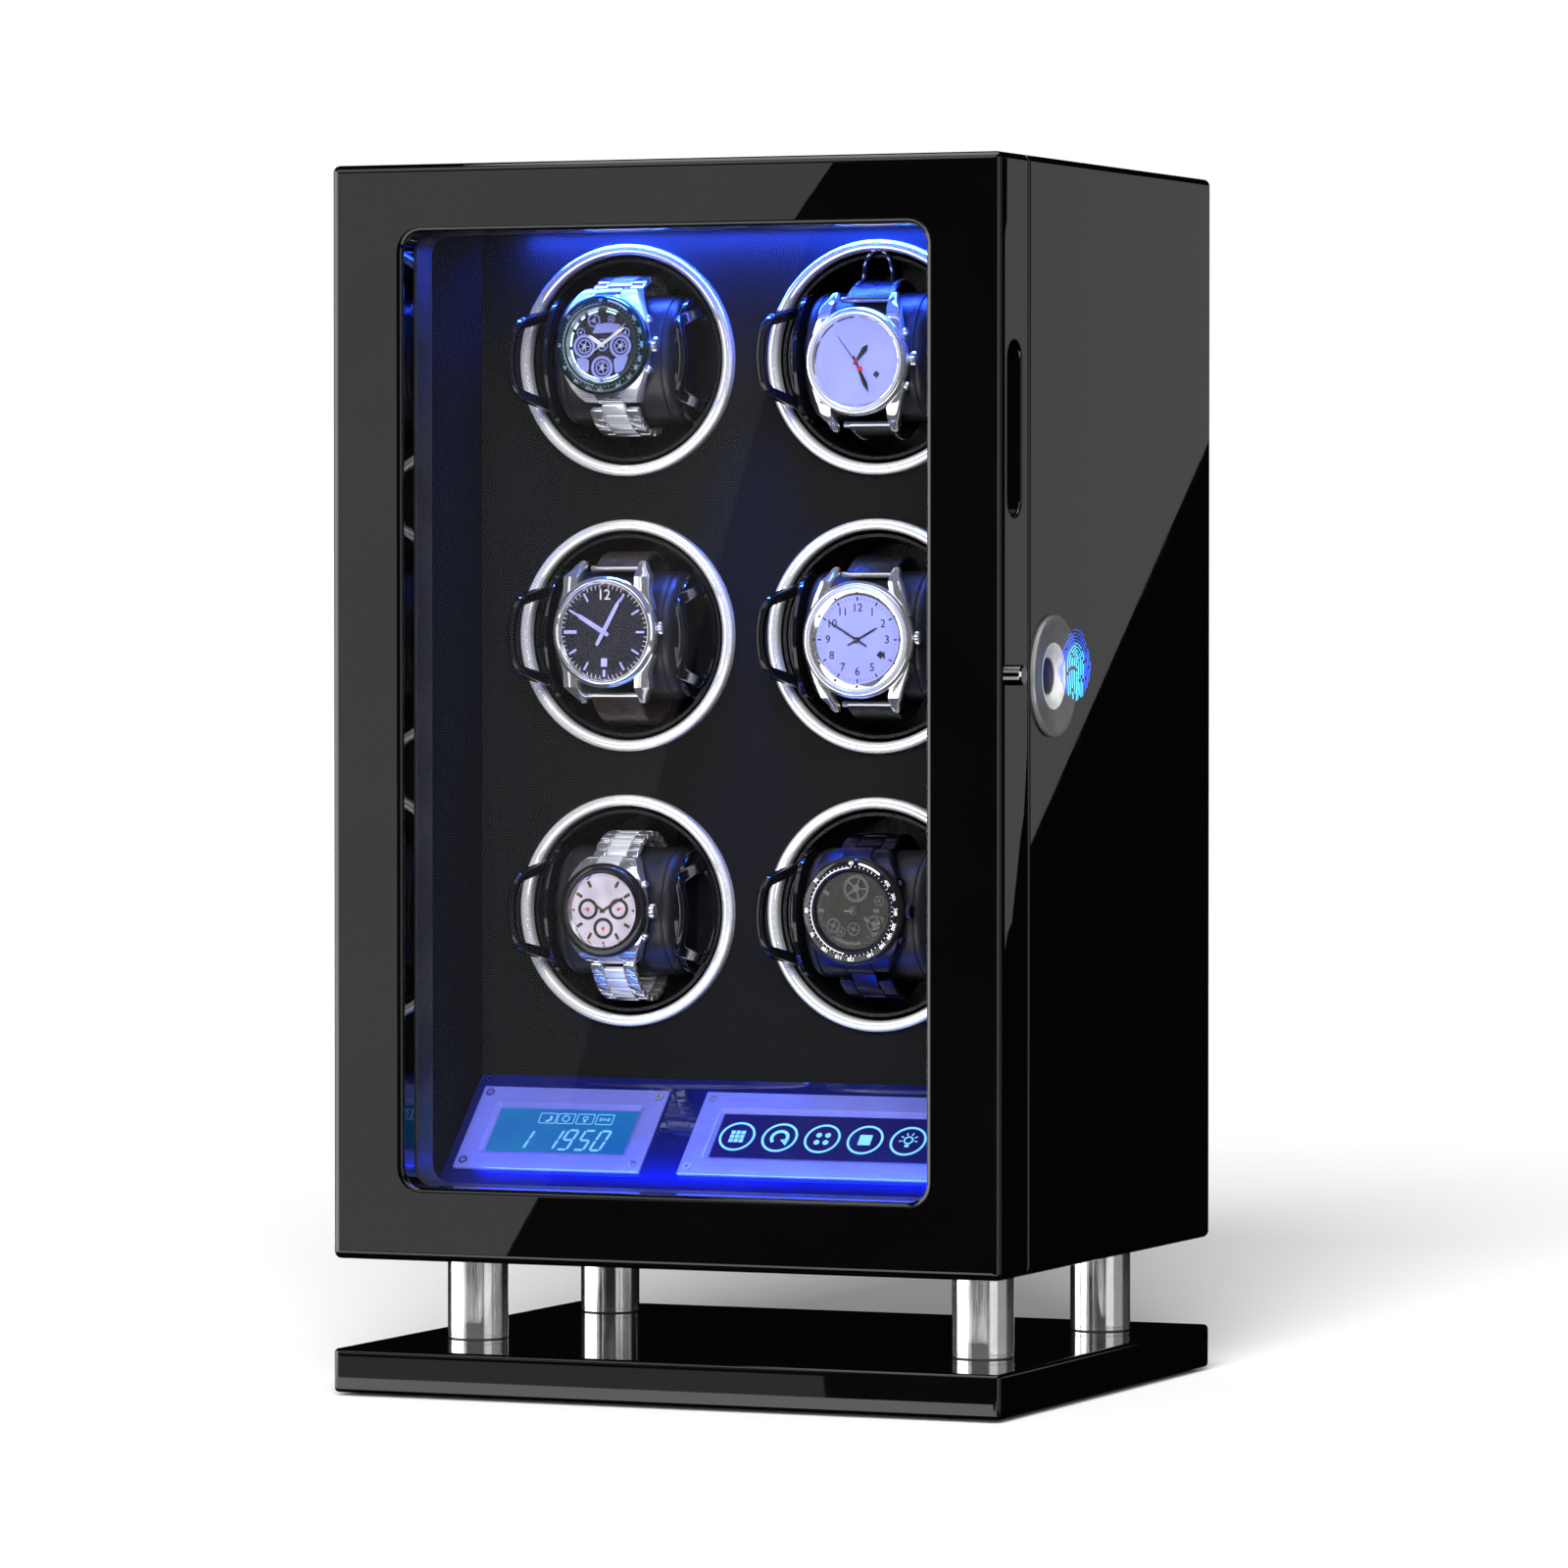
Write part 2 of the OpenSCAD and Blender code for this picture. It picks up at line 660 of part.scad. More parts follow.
module stirrups() {
  difference() {
    intersection() {
      translate([0, 0, cushion_y - 0.5]) difference() {
        cylinder(r = holder_r, h = 34, $fn = 96);
        translate([0, 0, -eps]) cylinder(r = holder_r - 2.6, h = 36, $fn = 96);
      }
      rotate([90, 0, 90]) translate([0, 0, -40]) linear_extrude(80)
        polygon([[-20, cushion_y - 0.5], [20, cushion_y - 0.5], [14.5, cushion_y + 33.5], [-14.5, cushion_y + 33.5]]);
    }
    rotate([90, 0, 90]) translate([0, 0, -40]) linear_extrude(80)
      polygon([[-15.6, cushion_y + 4.5], [15.6, cushion_y + 4.5], [10.8, cushion_y + 29], [-10.8, cushion_y + 29]]);
  }
}

module cheek() {
  rotate([90, 0, 90]) linear_extrude(cheek_t) union() {
    translate([0, cushion_y]) polygon(ellipse(cushion_a, cushion_b));
    translate([-12, -6]) square([24, cushion_y]);
  }
}

module watch_holder(i) {
  color("#0a0a0b") facing(rotor_at[i - 1][0], rotor_at[i - 1][1]) {
    intersection() {
      for (s = [0, 1]) mirror([s, 0, 0]) translate([cheek_x, 0, 0]) cheek();
      translate([0, 0, -20]) cylinder(r = holder_r, h = 80, $fn = 96);
    }
    translate([-cheek_x - cheek_t, -12, -6]) cube([2 * (cheek_x + cheek_t), 24, 3]);
    translate([0, 0, cup_floor + 0.4]) cylinder(r = plug_r, h = 6);
    difference() {
      translate([0, 0, cushion_y - 0.5]) linear_extrude(3) flange_outline();
      translate([-cheek_x - 0.5, -30, cushion_y - 1]) cube([2 * cheek_x + 1, 60, 5]);
    }
    stirrups();
  }
}

module cushion(i) {
  color("#1c1c20") facing(rotor_at[i - 1][0], rotor_at[i - 1][1])
    rotate([90, 0, 90]) translate([0, 0, -cushion_l / 2]) linear_extrude(cushion_l)
      translate([0, cushion_y]) polygon(ellipse(cushion_a, cushion_b));
}

module watch(i) {
  case_d = cases[i - 1][0];
  case_h = cases[i - 1][1];
  band_w = cases[i - 1][2];
  case_back = cushion_y + cushion_b + 0.8;
  color("#b6bac2") facing(rotor_at[i - 1][0], rotor_at[i - 1][1]) {
    rotate([90, 0, 90]) translate([0, 0, -band_w / 2]) linear_extrude(band_w) translate([0, cushion_y]) difference() {
      polygon(ellipse(cushion_a + 0.3 + band_t, cushion_b + 0.3 + band_t));
      polygon(ellipse(cushion_a + 0.3, cushion_b + 0.3));
    }
    translate([0, 0, case_back]) cylinder(d = case_d, h = case_h);
    translate([0, 0, case_back + case_h / 2]) rotate([0, 90, 0]) cylinder(r = 3, h = case_d / 2 + 3);
  }
}

module rotor_cup_1() { rotor_cup(1); }
module rotor_cup_2() { rotor_cup(2); }
module rotor_cup_3() { rotor_cup(3); }
module rotor_cup_4() { rotor_cup(4); }
module rotor_cup_5() { rotor_cup(5); }
module rotor_cup_6() { rotor_cup(6); }
module watch_holder_1() { watch_holder(1); }
module watch_holder_2() { watch_holder(2); }
module watch_holder_3() { watch_holder(3); }
module watch_holder_4() { watch_holder(4); }
module watch_holder_5() { watch_holder(5); }
module watch_holder_6() { watch_holder(6); }
module cushion_1() { cushion(1); }
module cushion_2() { cushion(2); }
module cushion_3() { cushion(3); }
module cushion_4() { cushion(4); }
module cushion_5() { cushion(5); }
module cushion_6() { cushion(6); }
module watch_1() { watch(1); }
module watch_2() { watch(2); }
module watch_3() { watch(3); }
module watch_4() { watch(4); }
module watch_5() { watch(5); }
module watch_6() { watch(6); }

// ---------------------------------------------------------------- nodes

cabinet_shell();
chamber_liner();
back_panel();
panel_screws();
rotor_panel();
control_board();
lcd_bezel();
lcd_module();
touch_bezel();
touch_panel();
led_light_bars();
led_diffusers();
base_plate();
support_posts();
post_bolts();
base_pads();
trim_rings();
drive_chassis();
gear_motors();
circuit_board();
dc_jack();
lock_escutcheon();
fingerprint_sensor();
latch_body();
cabinet_hinge_leaves();
hinge_pins();
door_frame();
door_glass();
glass_retainer();
door_hinge_leaves();
strike_plate();
release_button();
latch_bolt();
drive_pinion_top();
drive_pinion_middle();
drive_pinion_bottom();
rotor_cup_1();
rotor_cup_2();
rotor_cup_3();
rotor_cup_4();
rotor_cup_5();
rotor_cup_6();
watch_holder_1();
watch_holder_2();
watch_holder_3();
watch_holder_4();
watch_holder_5();
watch_holder_6();
cushion_1();
cushion_2();
cushion_3();
cushion_4();
cushion_5();
cushion_6();
watch_1();
watch_2();
watch_3();
watch_4();
watch_5();
watch_6();
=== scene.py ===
"""Watch winder box: lacquered cabinet with a glazed door, six lit rotors with watches, a control panel and a
fingerprint lock. Lengths in this script are millimetres until a mesh is made, then metres."""

import math
import random

import bmesh
import bpy
from mathutils import Matrix, Vector


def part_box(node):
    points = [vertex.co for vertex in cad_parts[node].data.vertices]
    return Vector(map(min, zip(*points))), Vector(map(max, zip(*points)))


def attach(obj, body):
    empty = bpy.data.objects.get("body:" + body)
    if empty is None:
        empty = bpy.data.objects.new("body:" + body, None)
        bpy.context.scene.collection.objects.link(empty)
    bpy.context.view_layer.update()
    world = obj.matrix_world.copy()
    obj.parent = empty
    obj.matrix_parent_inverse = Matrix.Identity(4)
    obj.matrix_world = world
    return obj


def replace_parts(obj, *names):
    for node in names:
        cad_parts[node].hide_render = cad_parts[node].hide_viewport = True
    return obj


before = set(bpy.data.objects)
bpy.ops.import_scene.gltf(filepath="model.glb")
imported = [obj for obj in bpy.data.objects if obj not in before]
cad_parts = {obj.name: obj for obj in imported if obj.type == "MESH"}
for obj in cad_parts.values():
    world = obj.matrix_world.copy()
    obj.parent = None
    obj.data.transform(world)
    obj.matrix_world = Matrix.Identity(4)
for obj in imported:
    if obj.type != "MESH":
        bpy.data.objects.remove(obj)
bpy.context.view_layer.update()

MM = 0.001
TAU = 2 * math.pi


# ------------------------------------------------------------------ sizes read from the frame

def box_mm(node):
    lo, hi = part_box(node)
    return lo / MM, hi / MM


def middle(node):
    lo, hi = box_mm(node)
    return (lo + hi) / 2


DOOR_LO, DOOR_HI = box_mm("door_frame")
SHELL_LO, SHELL_HI = box_mm("cabinet_shell")
GLASS_LO, GLASS_HI = box_mm("door_glass")
PANEL_LO = box_mm("rotor_panel")[0]
BASE_LO, BASE_HI = box_mm("base_plate")
ROTORS = [(middle(f"rotor_cup_{i}").x, middle(f"rotor_cup_{i}").z) for i in range(1, 7)]
GLASS_LAP = 4.5                      # the frame holds this much of the glass's edge
WINDOW_X = GLASS_HI.x - GLASS_LAP
WINDOW_Z0 = GLASS_LO.z + GLASS_LAP
WINDOW_Z1 = GLASS_HI.z - GLASS_LAP
WINDOW_R = 7
BOARD_SLOPE = math.radians(44)
BOARD_TOP = Vector((0, PANEL_LO.y, PANEL_LO.z))


# ------------------------------------------------------------------ mesh tools

class Shape:
    """Collects closed pieces of geometry, each placed by a matrix, into one mesh."""

    def __init__(self):
        self.verts = []
        self.faces = []

    def add(self, part, place=None):
        verts, faces = part
        base = len(self.verts)
        for v in verts:
            v = Vector(v)
            self.verts.append(place @ v if place else v)
        flip = place is not None and place.determinant() < 0
        for f in faces:
            ring = [base + i for i in f]
            self.faces.append(ring[::-1] if flip else ring)
        return self

    def build(self, name, material, body, slot, smooth=35, weighted=False):
        mesh = bpy.data.meshes.new(name)
        mesh.from_pydata([v * MM for v in self.verts], [], self.faces)
        return finish_mesh(name, mesh, material, body, smooth, weighted)


def put_in_scene(name, data):
    obj = bpy.data.objects.new(name, data)
    bpy.context.scene.collection.objects.link(obj)
    return obj


def finish_mesh(name, mesh, material, body, smooth=35, weighted=False):
    mesh.validate()
    form = bmesh.new()
    form.from_mesh(mesh)
    bmesh.ops.recalc_face_normals(form, faces=form.faces)
    form.to_mesh(mesh)
    form.free()
    obj = put_in_scene(name, mesh)
    mesh.materials.clear()
    mesh.materials.append(material)
    mesh.polygons.foreach_set("use_smooth", [True] * len(mesh.polygons))
    mesh.set_sharp_from_angle(angle=math.radians(smooth))
    if weighted:
        mod = obj.modifiers.new("flat_faces_stay_flat", "WEIGHTED_NORMAL")
        mod.keep_sharp = True
        mod.weight = 80
    if body:
        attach(obj, body)
    return obj


def loft(loops, closed=False, caps=True):
    """Joins loops of equal length, one after the other. closed joins the last to the first."""
    n = len(loops[0])
    verts = [Vector(p) for loop in loops for p in loop]
    faces = []
    rows = len(loops)
    for r in range(rows if closed else rows - 1):
        a = r * n
        b = ((r + 1) % rows) * n
        for i in range(n):
            j = (i + 1) % n
            faces.append([a + i, a + j, b + j, b + i])
    if caps and not closed:
        faces.append(list(range(n))[::-1])
        faces.append([(rows - 1) * n + i for i in range(n)])
    return verts, faces


def lathe(profile, n=64, closed=False):
    """Turns (radius, height) points about Z. A profile that starts and ends at radius 0 closes itself."""
    verts = []
    faces = []
    rings = []
    for r, h in profile:
        if r < 1e-6:
            rings.append([len(verts)])
            verts.append(Vector((0, 0, h)))
        else:
            rings.append(list(range(len(verts), len(verts) + n)))
            verts += [Vector((r * math.cos(TAU * i / n), r * math.sin(TAU * i / n), h)) for i in range(n)]
    pairs = list(zip(rings, rings[1:])) + ([(rings[-1], rings[0])] if closed else [])
    for a, b in pairs:
        for i in range(n):
            j = (i + 1) % n
            if len(a) == 1 and len(b) == 1:
                continue
            if len(a) == 1:
                faces.append([a[0], b[j], b[i]])
            elif len(b) == 1:
                faces.append([a[i], a[j], b[0]])
            else:
                faces.append([a[i], a[j], b[j], b[i]])
    return verts, faces


def disc(r, z0, z1, n=24):
    return lathe([(0, z0), (r, z0), (r, z1), (0, z1)], n)


def ring_part(r0, r1, z0, z1, n=48):
    return lathe([(r0, z0), (r1, z0), (r1, z1), (r0, z1)], n, closed=True)


def round_rect(w, h, r, n=6, cx=0.0, cy=0.0):
    """Corners of a rounded rectangle as points, anticlockwise."""
    r = max(r, 0.01)
    pts = []
    for k, (sx, sy) in enumerate([(1, 1), (-1, 1), (-1, -1), (1, -1)]):
        for i in range(n + 1):
            a = math.pi / 2 * (k + i / n)
            pts.append((cx + sx * (w / 2 - r) + r * math.cos(a), cy + sy * (h / 2 - r) + r * math.sin(a)))
    return pts


def circle_pts(r, n=32, cx=0.0, cy=0.0, start=0.0):
    angles = [start + TAU * i / n for i in range(n)]
    return [(cx + r * math.cos(a), cy + r * math.sin(a)) for a in angles]


def inset(outline, d):
    """Moves each point of an anticlockwise outline inwards by d along its mitre."""
    out = []
    n = len(outline)
    for i in range(n):
        p0, p1, p2 = (Vector(outline[k % n]) for k in (i - 1, i, i + 1))
        e0 = (p1 - p0).normalized() if (p1 - p0).length > 1e-9 else Vector((1, 0))
        e1 = (p2 - p1).normalized() if (p2 - p1).length > 1e-9 else e0
        n0 = Vector((-e0.y, e0.x))
        n1 = Vector((-e1.y, e1.x))
        m = n0 + n1
        m = m / max(m.length_squared, 0.5) * 2
        out.append(tuple(p1 + m * d))
    return out


def slab(outline, z0, z1, c=0.0, both=True):
    """An outline raised from z0 to z1 with its rim chamfered by c."""
    flat = lambda pts, z: [(p[0], p[1], z) for p in pts]
    loops = []
    if c and both:
        loops.append(flat(inset(outline, c), z0))
        loops.append(flat(outline, z0 + c))
    else:
        loops.append(flat(outline, z0))
    if c:
        loops += [flat(outline, z1 - c), flat(inset(outline, c * 0.3), z1 - c * 0.3),
                  flat(inset(outline, c), z1)]
    else:
        loops.append(flat(outline, z1))
    return loft(loops)


def frame_plate(outer, inner, z0, z1, c):
    """A plate with a hole: outer and inner outlines have the same number of points."""
    flat = lambda pts, z: [(p[0], p[1], z) for p in pts]
    return loft([
        flat(outer, z0), flat(outer, z1 - c), flat(inset(outer, c), z1),
        flat(inset(inner, -c), z1), flat(inner, z1 - c), flat(inner, z0),
    ], closed=True)


def block(w, h, t, c=0.15):
    """A bar of width w, height h and thickness t on z = 0, with softened edges."""
    return slab(round_rect(w, h, c, 1), 0, t, c)


def sweep(path, section, up=Vector((1, 0, 0)), closed=False):
    """Carries a section (points x, y) along a path; x runs along `up`, y square to it."""
    loops = []
    n = len(path)
    for i, p in enumerate(path):
        a = path[(i - 1) % n] if closed or i > 0 else path[i]
        b = path[(i + 1) % n] if closed or i < n - 1 else path[i]
        t = (Vector(b) - Vector(a)).normalized()
        side = (up - t * up.dot(t)).normalized()
        out = t.cross(side)
        sec = section(i / (n - 1)) if callable(section) else section
        loops.append([Vector(p) + side * s[0] + out * s[1] for s in sec])
    return loft(loops, closed=closed)


def tube(path, r, n=8, closed=False, up=Vector((0.31, 0.17, 0.93))):
    return sweep(path, circle_pts(r, n), up.normalized(), closed)


def at(x=0.0, y=0.0, z=0.0, turn=0.0, scale=1.0):
    return Matrix.Translation((x, y, z)) @ Matrix.Rotation(turn, 4, "Z") @ Matrix.Scale(scale, 4)


def facing(x, y, z):
    """Local z points to the front (-Y), local y points up."""
    return Matrix.Translation((x, y, z)) @ Matrix.Rotation(math.pi / 2, 4, "X")


def sideways(x):
    """Draws in the plane of height and depth and raises along x."""
    return Matrix(((0, 0, 1, x), (1, 0, 0, 0), (0, 1, 0, 0), (0, 0, 0, 1)))


def to_right(x, y, z):
    """Local z points to the right (+X), local y points up, local x to the back."""
    return Matrix.Translation((x, y, z)) @ sideways(0)


ON_BOARD = Matrix.Translation(BOARD_TOP) @ Matrix.Rotation(BOARD_SLOPE, 4, "X")


def evaluated_mesh(obj):
    return bpy.data.meshes.new_from_object(obj.evaluated_get(bpy.context.evaluated_depsgraph_get()))


def text_part(text, size, depth=0.05):
    """Digits as flat raised shapes, centred on the origin."""
    curve = bpy.data.curves.new("digits", "FONT")
    curve.body = text
    curve.size = size
    curve.align_x = "CENTER"
    curve.align_y = "CENTER"
    curve.extrude = depth / 2
    curve.resolution_u = 3
    obj = put_in_scene("digits", curve)
    mesh = evaluated_mesh(obj)
    verts = [v.co.copy() for v in mesh.vertices]
    faces = [list(p.vertices) for p in mesh.polygons]
    bpy.data.objects.remove(obj)
    bpy.data.curves.remove(curve)
    bpy.data.meshes.remove(mesh)
    return verts, faces


def carved(shape, name, cutters, body, node):
    """Cuts shapes out of a lacquered piece, keeps the result as its mesh, and lets it replace a CAD node."""
    obj = shape.build(name, M["lacquer"], None, None)
    tools = []
    for i, (verts, faces) in enumerate(cutters):
        mesh = bpy.data.meshes.new("cutter")
        mesh.from_pydata([Vector(v) * MM for v in verts], [], faces)
        tools.append(put_in_scene("cutter", mesh))
        mod = obj.modifiers.new(f"cut{i}", "BOOLEAN")
        mod.operation = "DIFFERENCE"
        mod.solver = "EXACT"
        mod.object = tools[-1]
    bpy.context.view_layer.update()
    mesh = evaluated_mesh(obj)
    for spare in [obj] + tools:
        bpy.data.objects.remove(spare)
    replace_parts(finish_mesh(name, mesh, M["lacquer"], body, 28, True), node)


# ------------------------------------------------------------------ materials

def shade(colour, share=1.0):
    """A colour with its alpha, made darker or lighter by a share."""
    return tuple(min(1, c * share) for c in colour) + (1,)


def add_node(tree, kind, **values):
    """Adds a node. Each value goes to the input of that name, or else to the node's own setting."""
    n = tree.nodes.new(kind)
    for key, value in values.items():
        socket = key.replace("_", " ")
        if socket in n.inputs.keys():
            n.inputs[socket].default_value = value
        else:
            setattr(n, key, value)
    return n


def join(tree, *links):
    for a, out, b, inp in links:
        tree.links.new(a.outputs[out], b.inputs[inp])


def new_material(name, with_shader=True):
    mat = bpy.data.materials.new(name)
    mat.use_nodes = True
    if not with_shader:
        mat.node_tree.nodes.remove(mat.node_tree.nodes["Principled BSDF"])
    return mat, mat.node_tree


class Nodes:
    """A material with a Principled shader, and short calls for its procedural parts."""

    def __init__(self, name, base, rough=0.5, metal=0.0, **sockets):
        self.mat, self.tree = new_material(name)
        self.bsdf = self.tree.nodes["Principled BSDF"]
        self.put(Base_Color=shade(base), Roughness=rough, Metallic=metal, **sockets)

    def put(self, **sockets):
        for key, value in sockets.items():
            self.bsdf.inputs[key.replace("_", " ")].default_value = value

    def node(self, kind, **values):
        return add_node(self.tree, kind, **values)

    def link(self, a, out, b, inp):
        join(self.tree, (a, out, b, inp))

    def coords(self, scale=(1, 1, 1), turn=(0, 0, 0)):
        mapping = self.node("ShaderNodeMapping", Scale=scale, Rotation=turn)
        self.link(self.node("ShaderNodeTexCoord"), "Object", mapping, "Vector")
        return mapping

    def noise(self, scale, detail=3.0, stretch=(1, 1, 1)):
        n = self.node("ShaderNodeTexNoise", Scale=scale, Detail=detail)
        self.link(self.coords(stretch), "Vector", n, "Vector")
        return n, "Fac"

    def cells(self, scale):
        n = self.node("ShaderNodeTexVoronoi", Scale=scale)
        self.link(self.coords(), "Vector", n, "Vector")
        return n, "Distance"

    def ramp(self, src, lo, hi, a, b, socket):
        """Turns a texture into a colour from a to b, and feeds it to a socket of the shader."""
        r = self.node("ShaderNodeValToRGB")
        for element, position, colour in zip(r.color_ramp.elements, (lo, hi), (a, b)):
            element.position = position
            element.color = colour
        self.link(src[0], src[1], r, "Fac")
        self.link(r, "Color", self.bsdf, socket)

    def colour(self, src, a, b, lo=0.3, hi=0.7):
        self.ramp(src, lo, hi, a, b, "Base Color")

    def roughness(self, src, a, b):
        m = self.node("ShaderNodeMapRange", From_Min=0.3, From_Max=0.7, To_Min=a, To_Max=b)
        self.link(src[0], src[1], m, "Value")
        self.link(m, "Result", self.bsdf, "Roughness")

    def bump(self, src, strength, distance):
        b = self.node("ShaderNodeBump", Strength=strength, Distance=distance)
        self.link(src[0], src[1], b, "Height")
        self.link(b, "Normal", self.bsdf, "Normal")


def lacquer(name, base=(0.0008, 0.0008, 0.0009)):
    """Black polyester lacquer: deep, wet, with a trace of orange peel and polishing haze."""
    m = Nodes(name, base, 0.03, IOR=1.52, Coat_Weight=0.0)
    m.colour(m.noise(22, 5), shade(base, 0.8), shade(base, 1.25))
    m.roughness(m.noise(60, 4), 0.004, 0.012)
    m.bump(m.noise(90, 2), 0.002, 0.0002)
    return m.mat


def plastic(name, base, rough, relief=0.05):
    m = Nodes(name, base, rough)
    m.colour(m.noise(150, 4), shade(base, 0.8), shade(base, 1.2))
    m.roughness(m.noise(300, 3), rough * 0.8, rough * 1.25)
    m.bump(m.noise(900, 2), relief, 0.0002)
    return m.mat


def metal(name, base, rough, brush=None, scratch=0.25, shine=1.0, wear=0.14):
    """Metal with fine wear. brush stretches the grain, such as (1, 60, 60) along X."""
    m = Nodes(name, base, rough, shine)
    m.colour(m.noise(80, 4), shade(base, 1 - wear), shade(base))
    if brush:
        grain = m.noise(60, 5, brush)
        m.roughness(grain, rough * 0.7, rough * 1.4)
        m.bump(grain, scratch, 0.00008)
    else:
        m.roughness(m.noise(120, 3), rough * (1 - wear), rough * (1 + 2 * wear))
    return m.mat


def leather(name, base, rough, grain, relief):
    m = Nodes(name, base, rough, Sheen_Roughness=0.4)
    pores = m.cells(grain)
    m.colour(pores, shade(base, 0.55), shade(base), 0.05, 0.5)
    m.roughness(m.noise(grain / 2, 3), rough * 0.8, rough * 1.3)
    m.bump(pores, relief, 0.0003)
    return m.mat


def cloth(name, base, scale=2400, sheen=0.35, relief=0.5):
    m = Nodes(name, base, 0.95, Sheen_Weight=sheen, Sheen_Roughness=0.35, Specular_IOR_Level=0.2)
    pile = m.noise(scale, 4)
    m.colour(pile, shade(base, 0.6), shade(base), 0.35, 0.65)
    m.bump(pile, relief, 0.0003)
    return m.mat


def lit(name, base, glow, strength, ripple=30):
    """A glowing surface whose colour drifts a little over its length."""
    m = Nodes(name, base, 0.25, Emission_Strength=strength)
    m.ramp(m.noise(ripple, 2), 0.3, 0.7, shade(glow, 0.8), shade(glow), "Emission Color")
    return m.mat


def screen(name, left, right, strength):
    """A lit display that shades from one colour at its left to another at its right."""
    m = Nodes(name, (0.004, 0.004, 0.01), 0.12, Specular_IOR_Level=0.2, Emission_Strength=strength)
    spread = m.node("ShaderNodeTexGradient")
    m.link(m.coords((14, 14, 14), (0, 0, 0.4)), "Vector", spread, "Vector")
    drift = m.node("ShaderNodeMath", operation="ADD")
    m.link(spread, "Fac", drift, 0)
    m.link(*m.noise(40, 2), drift, 1)
    m.ramp((drift, "Value"), 0.3, 1.4, shade(left), shade(right), "Emission Color")
    return m.mat


def clear(name, gloss):
    """Thin clear pane: light goes straight through, and a share `gloss` is mirrored at a slant."""
    mat, tree = new_material(name, with_shader=False)
    through = add_node(tree, "ShaderNodeBsdfTransparent", Color=(1, 1, 1, 1))
    mirror = add_node(tree, "ShaderNodeBsdfGlossy", Roughness=0.0)
    slant = add_node(tree, "ShaderNodeLayerWeight", Blend=0.35)
    smear = add_node(tree, "ShaderNodeTexNoise", Scale=12)
    vary = add_node(tree, "ShaderNodeMapRange", To_Min=0.9, To_Max=1.1)
    share = add_node(tree, "ShaderNodeMath", operation="MULTIPLY")
    share.inputs[1].default_value = gloss
    both = add_node(tree, "ShaderNodeMath", operation="MULTIPLY")
    mix = add_node(tree, "ShaderNodeMixShader")
    join(tree, (slant, "Fresnel", share, 0), (smear, "Fac", vary, "Value"), (share, 0, both, 0),
         (vary, "Result", both, 1), (both, 0, mix, "Fac"), (through, 0, mix, 1), (mirror, 0, mix, 2),
         (mix, 0, tree.nodes["Material Output"], "Surface"))
    return mat


M = {
    "lacquer": lacquer("piano_lacquer"),
    # The control board's blue is painted light: the blue glow of the LED strips is put into the lacquer's
    # colour.
    "board": lacquer("control_lacquer", (0.003, 0.004, 0.045)),
    "velvet": cloth("velvet_lining", (0.0022, 0.0022, 0.0024), sheen=0.0),
    "suede": cloth("panel_suede", (0.0046, 0.0046, 0.0046), 1800, 0.0, 0.3),
    "back": plastic("back_board", (0.02, 0.02, 0.022), 0.5),
    "screw": metal("screw_steel", (0.6, 0.61, 0.63), 0.3),
    # The bezels' blue is painted light: the blue glow of the LED strips is put into the brushed aluminium's
    # colour.
    "aluminium": metal("bezel_aluminium", (0.115, 0.135, 0.50), 0.34, (1, 70, 70), 0.3, 0.45),
    "channel": metal("led_channel", (0.6, 0.61, 0.62), 0.4),
    "diffuser": lit("led_diffuser", (0.2, 0.3, 1), (0.07, 0.30, 1.0), 5.0),
    "post": metal("post_steel", (0.80, 0.80, 0.81), 0.13, (60, 60, 1.5), 0.12, 0.93),
    "felt": cloth("felt", (0.03, 0.03, 0.032)),
    "ring": metal("ring_chrome", (0.93, 0.94, 0.97), 0.2, shine=0.74, wear=0.04),
    "chassis": plastic("chassis_metal", (0.1, 0.11, 0.12), 0.5),
    "motor": metal("motor_steel", (0.45, 0.46, 0.48), 0.35, (60, 1, 60)),
    "pcb": plastic("circuit_board", (0.02, 0.12, 0.05), 0.35),
    "plastic": plastic("black_plastic", (0.015, 0.015, 0.017), 0.4),
    "lock": metal("lock_metal", (0.30, 0.30, 0.31), 0.3, shine=0.7),
    "sensor": plastic("sensor_glass", (0.003, 0.003, 0.003), 0.35, relief=0.0),
    "brass": metal("hinge_brass", (0.62, 0.53, 0.32), 0.2),
    "glass": clear("door_glass", 0.10),
    "gear": plastic("gear_plastic", (0.65, 0.62, 0.5), 0.4),
    "rotor": plastic("rotor_plastic", (0.004, 0.004, 0.005), 0.3, relief=0.0),
    "holder": plastic("holder_gloss", (0.003, 0.003, 0.004), 0.07, relief=0.002),
    "cushion": leather("cushion_leather", (0.008, 0.008, 0.010), 0.36, 1100, 0.14),
    "chrome": metal("button_chrome", (0.85, 0.86, 0.88), 0.12),
    "lock_cup": plastic("lock_cup", (0.40, 0.40, 0.41), 0.3),
    "lcd": screen("lcd_cyan", (0.008, 0.20, 0.50), (0.004, 0.08, 0.50), 0.95),
    "lcd_mark": lit("lcd_mark", (0.02, 0.03, 0.05), (0.20, 0.52, 1.0), 1.15),
    "touch": screen("touch_blue", (0.003, 0.003, 0.24), (0.004, 0.004, 0.14), 0.8),
    "icon": lit("touch_icon", (0.1, 0.2, 0.3), (0.05, 0.42, 1.0), 1.0),
    "print_bright": lit("fingerprint_bright", (0.1, 0.4, 0.9), (0.03, 0.55, 1.0), 1.6, ripple=300),
    "print_dim": lit("fingerprint_dim", (0.05, 0.1, 0.9), (0.01, 0.13, 1.0), 1.0, ripple=300),
}

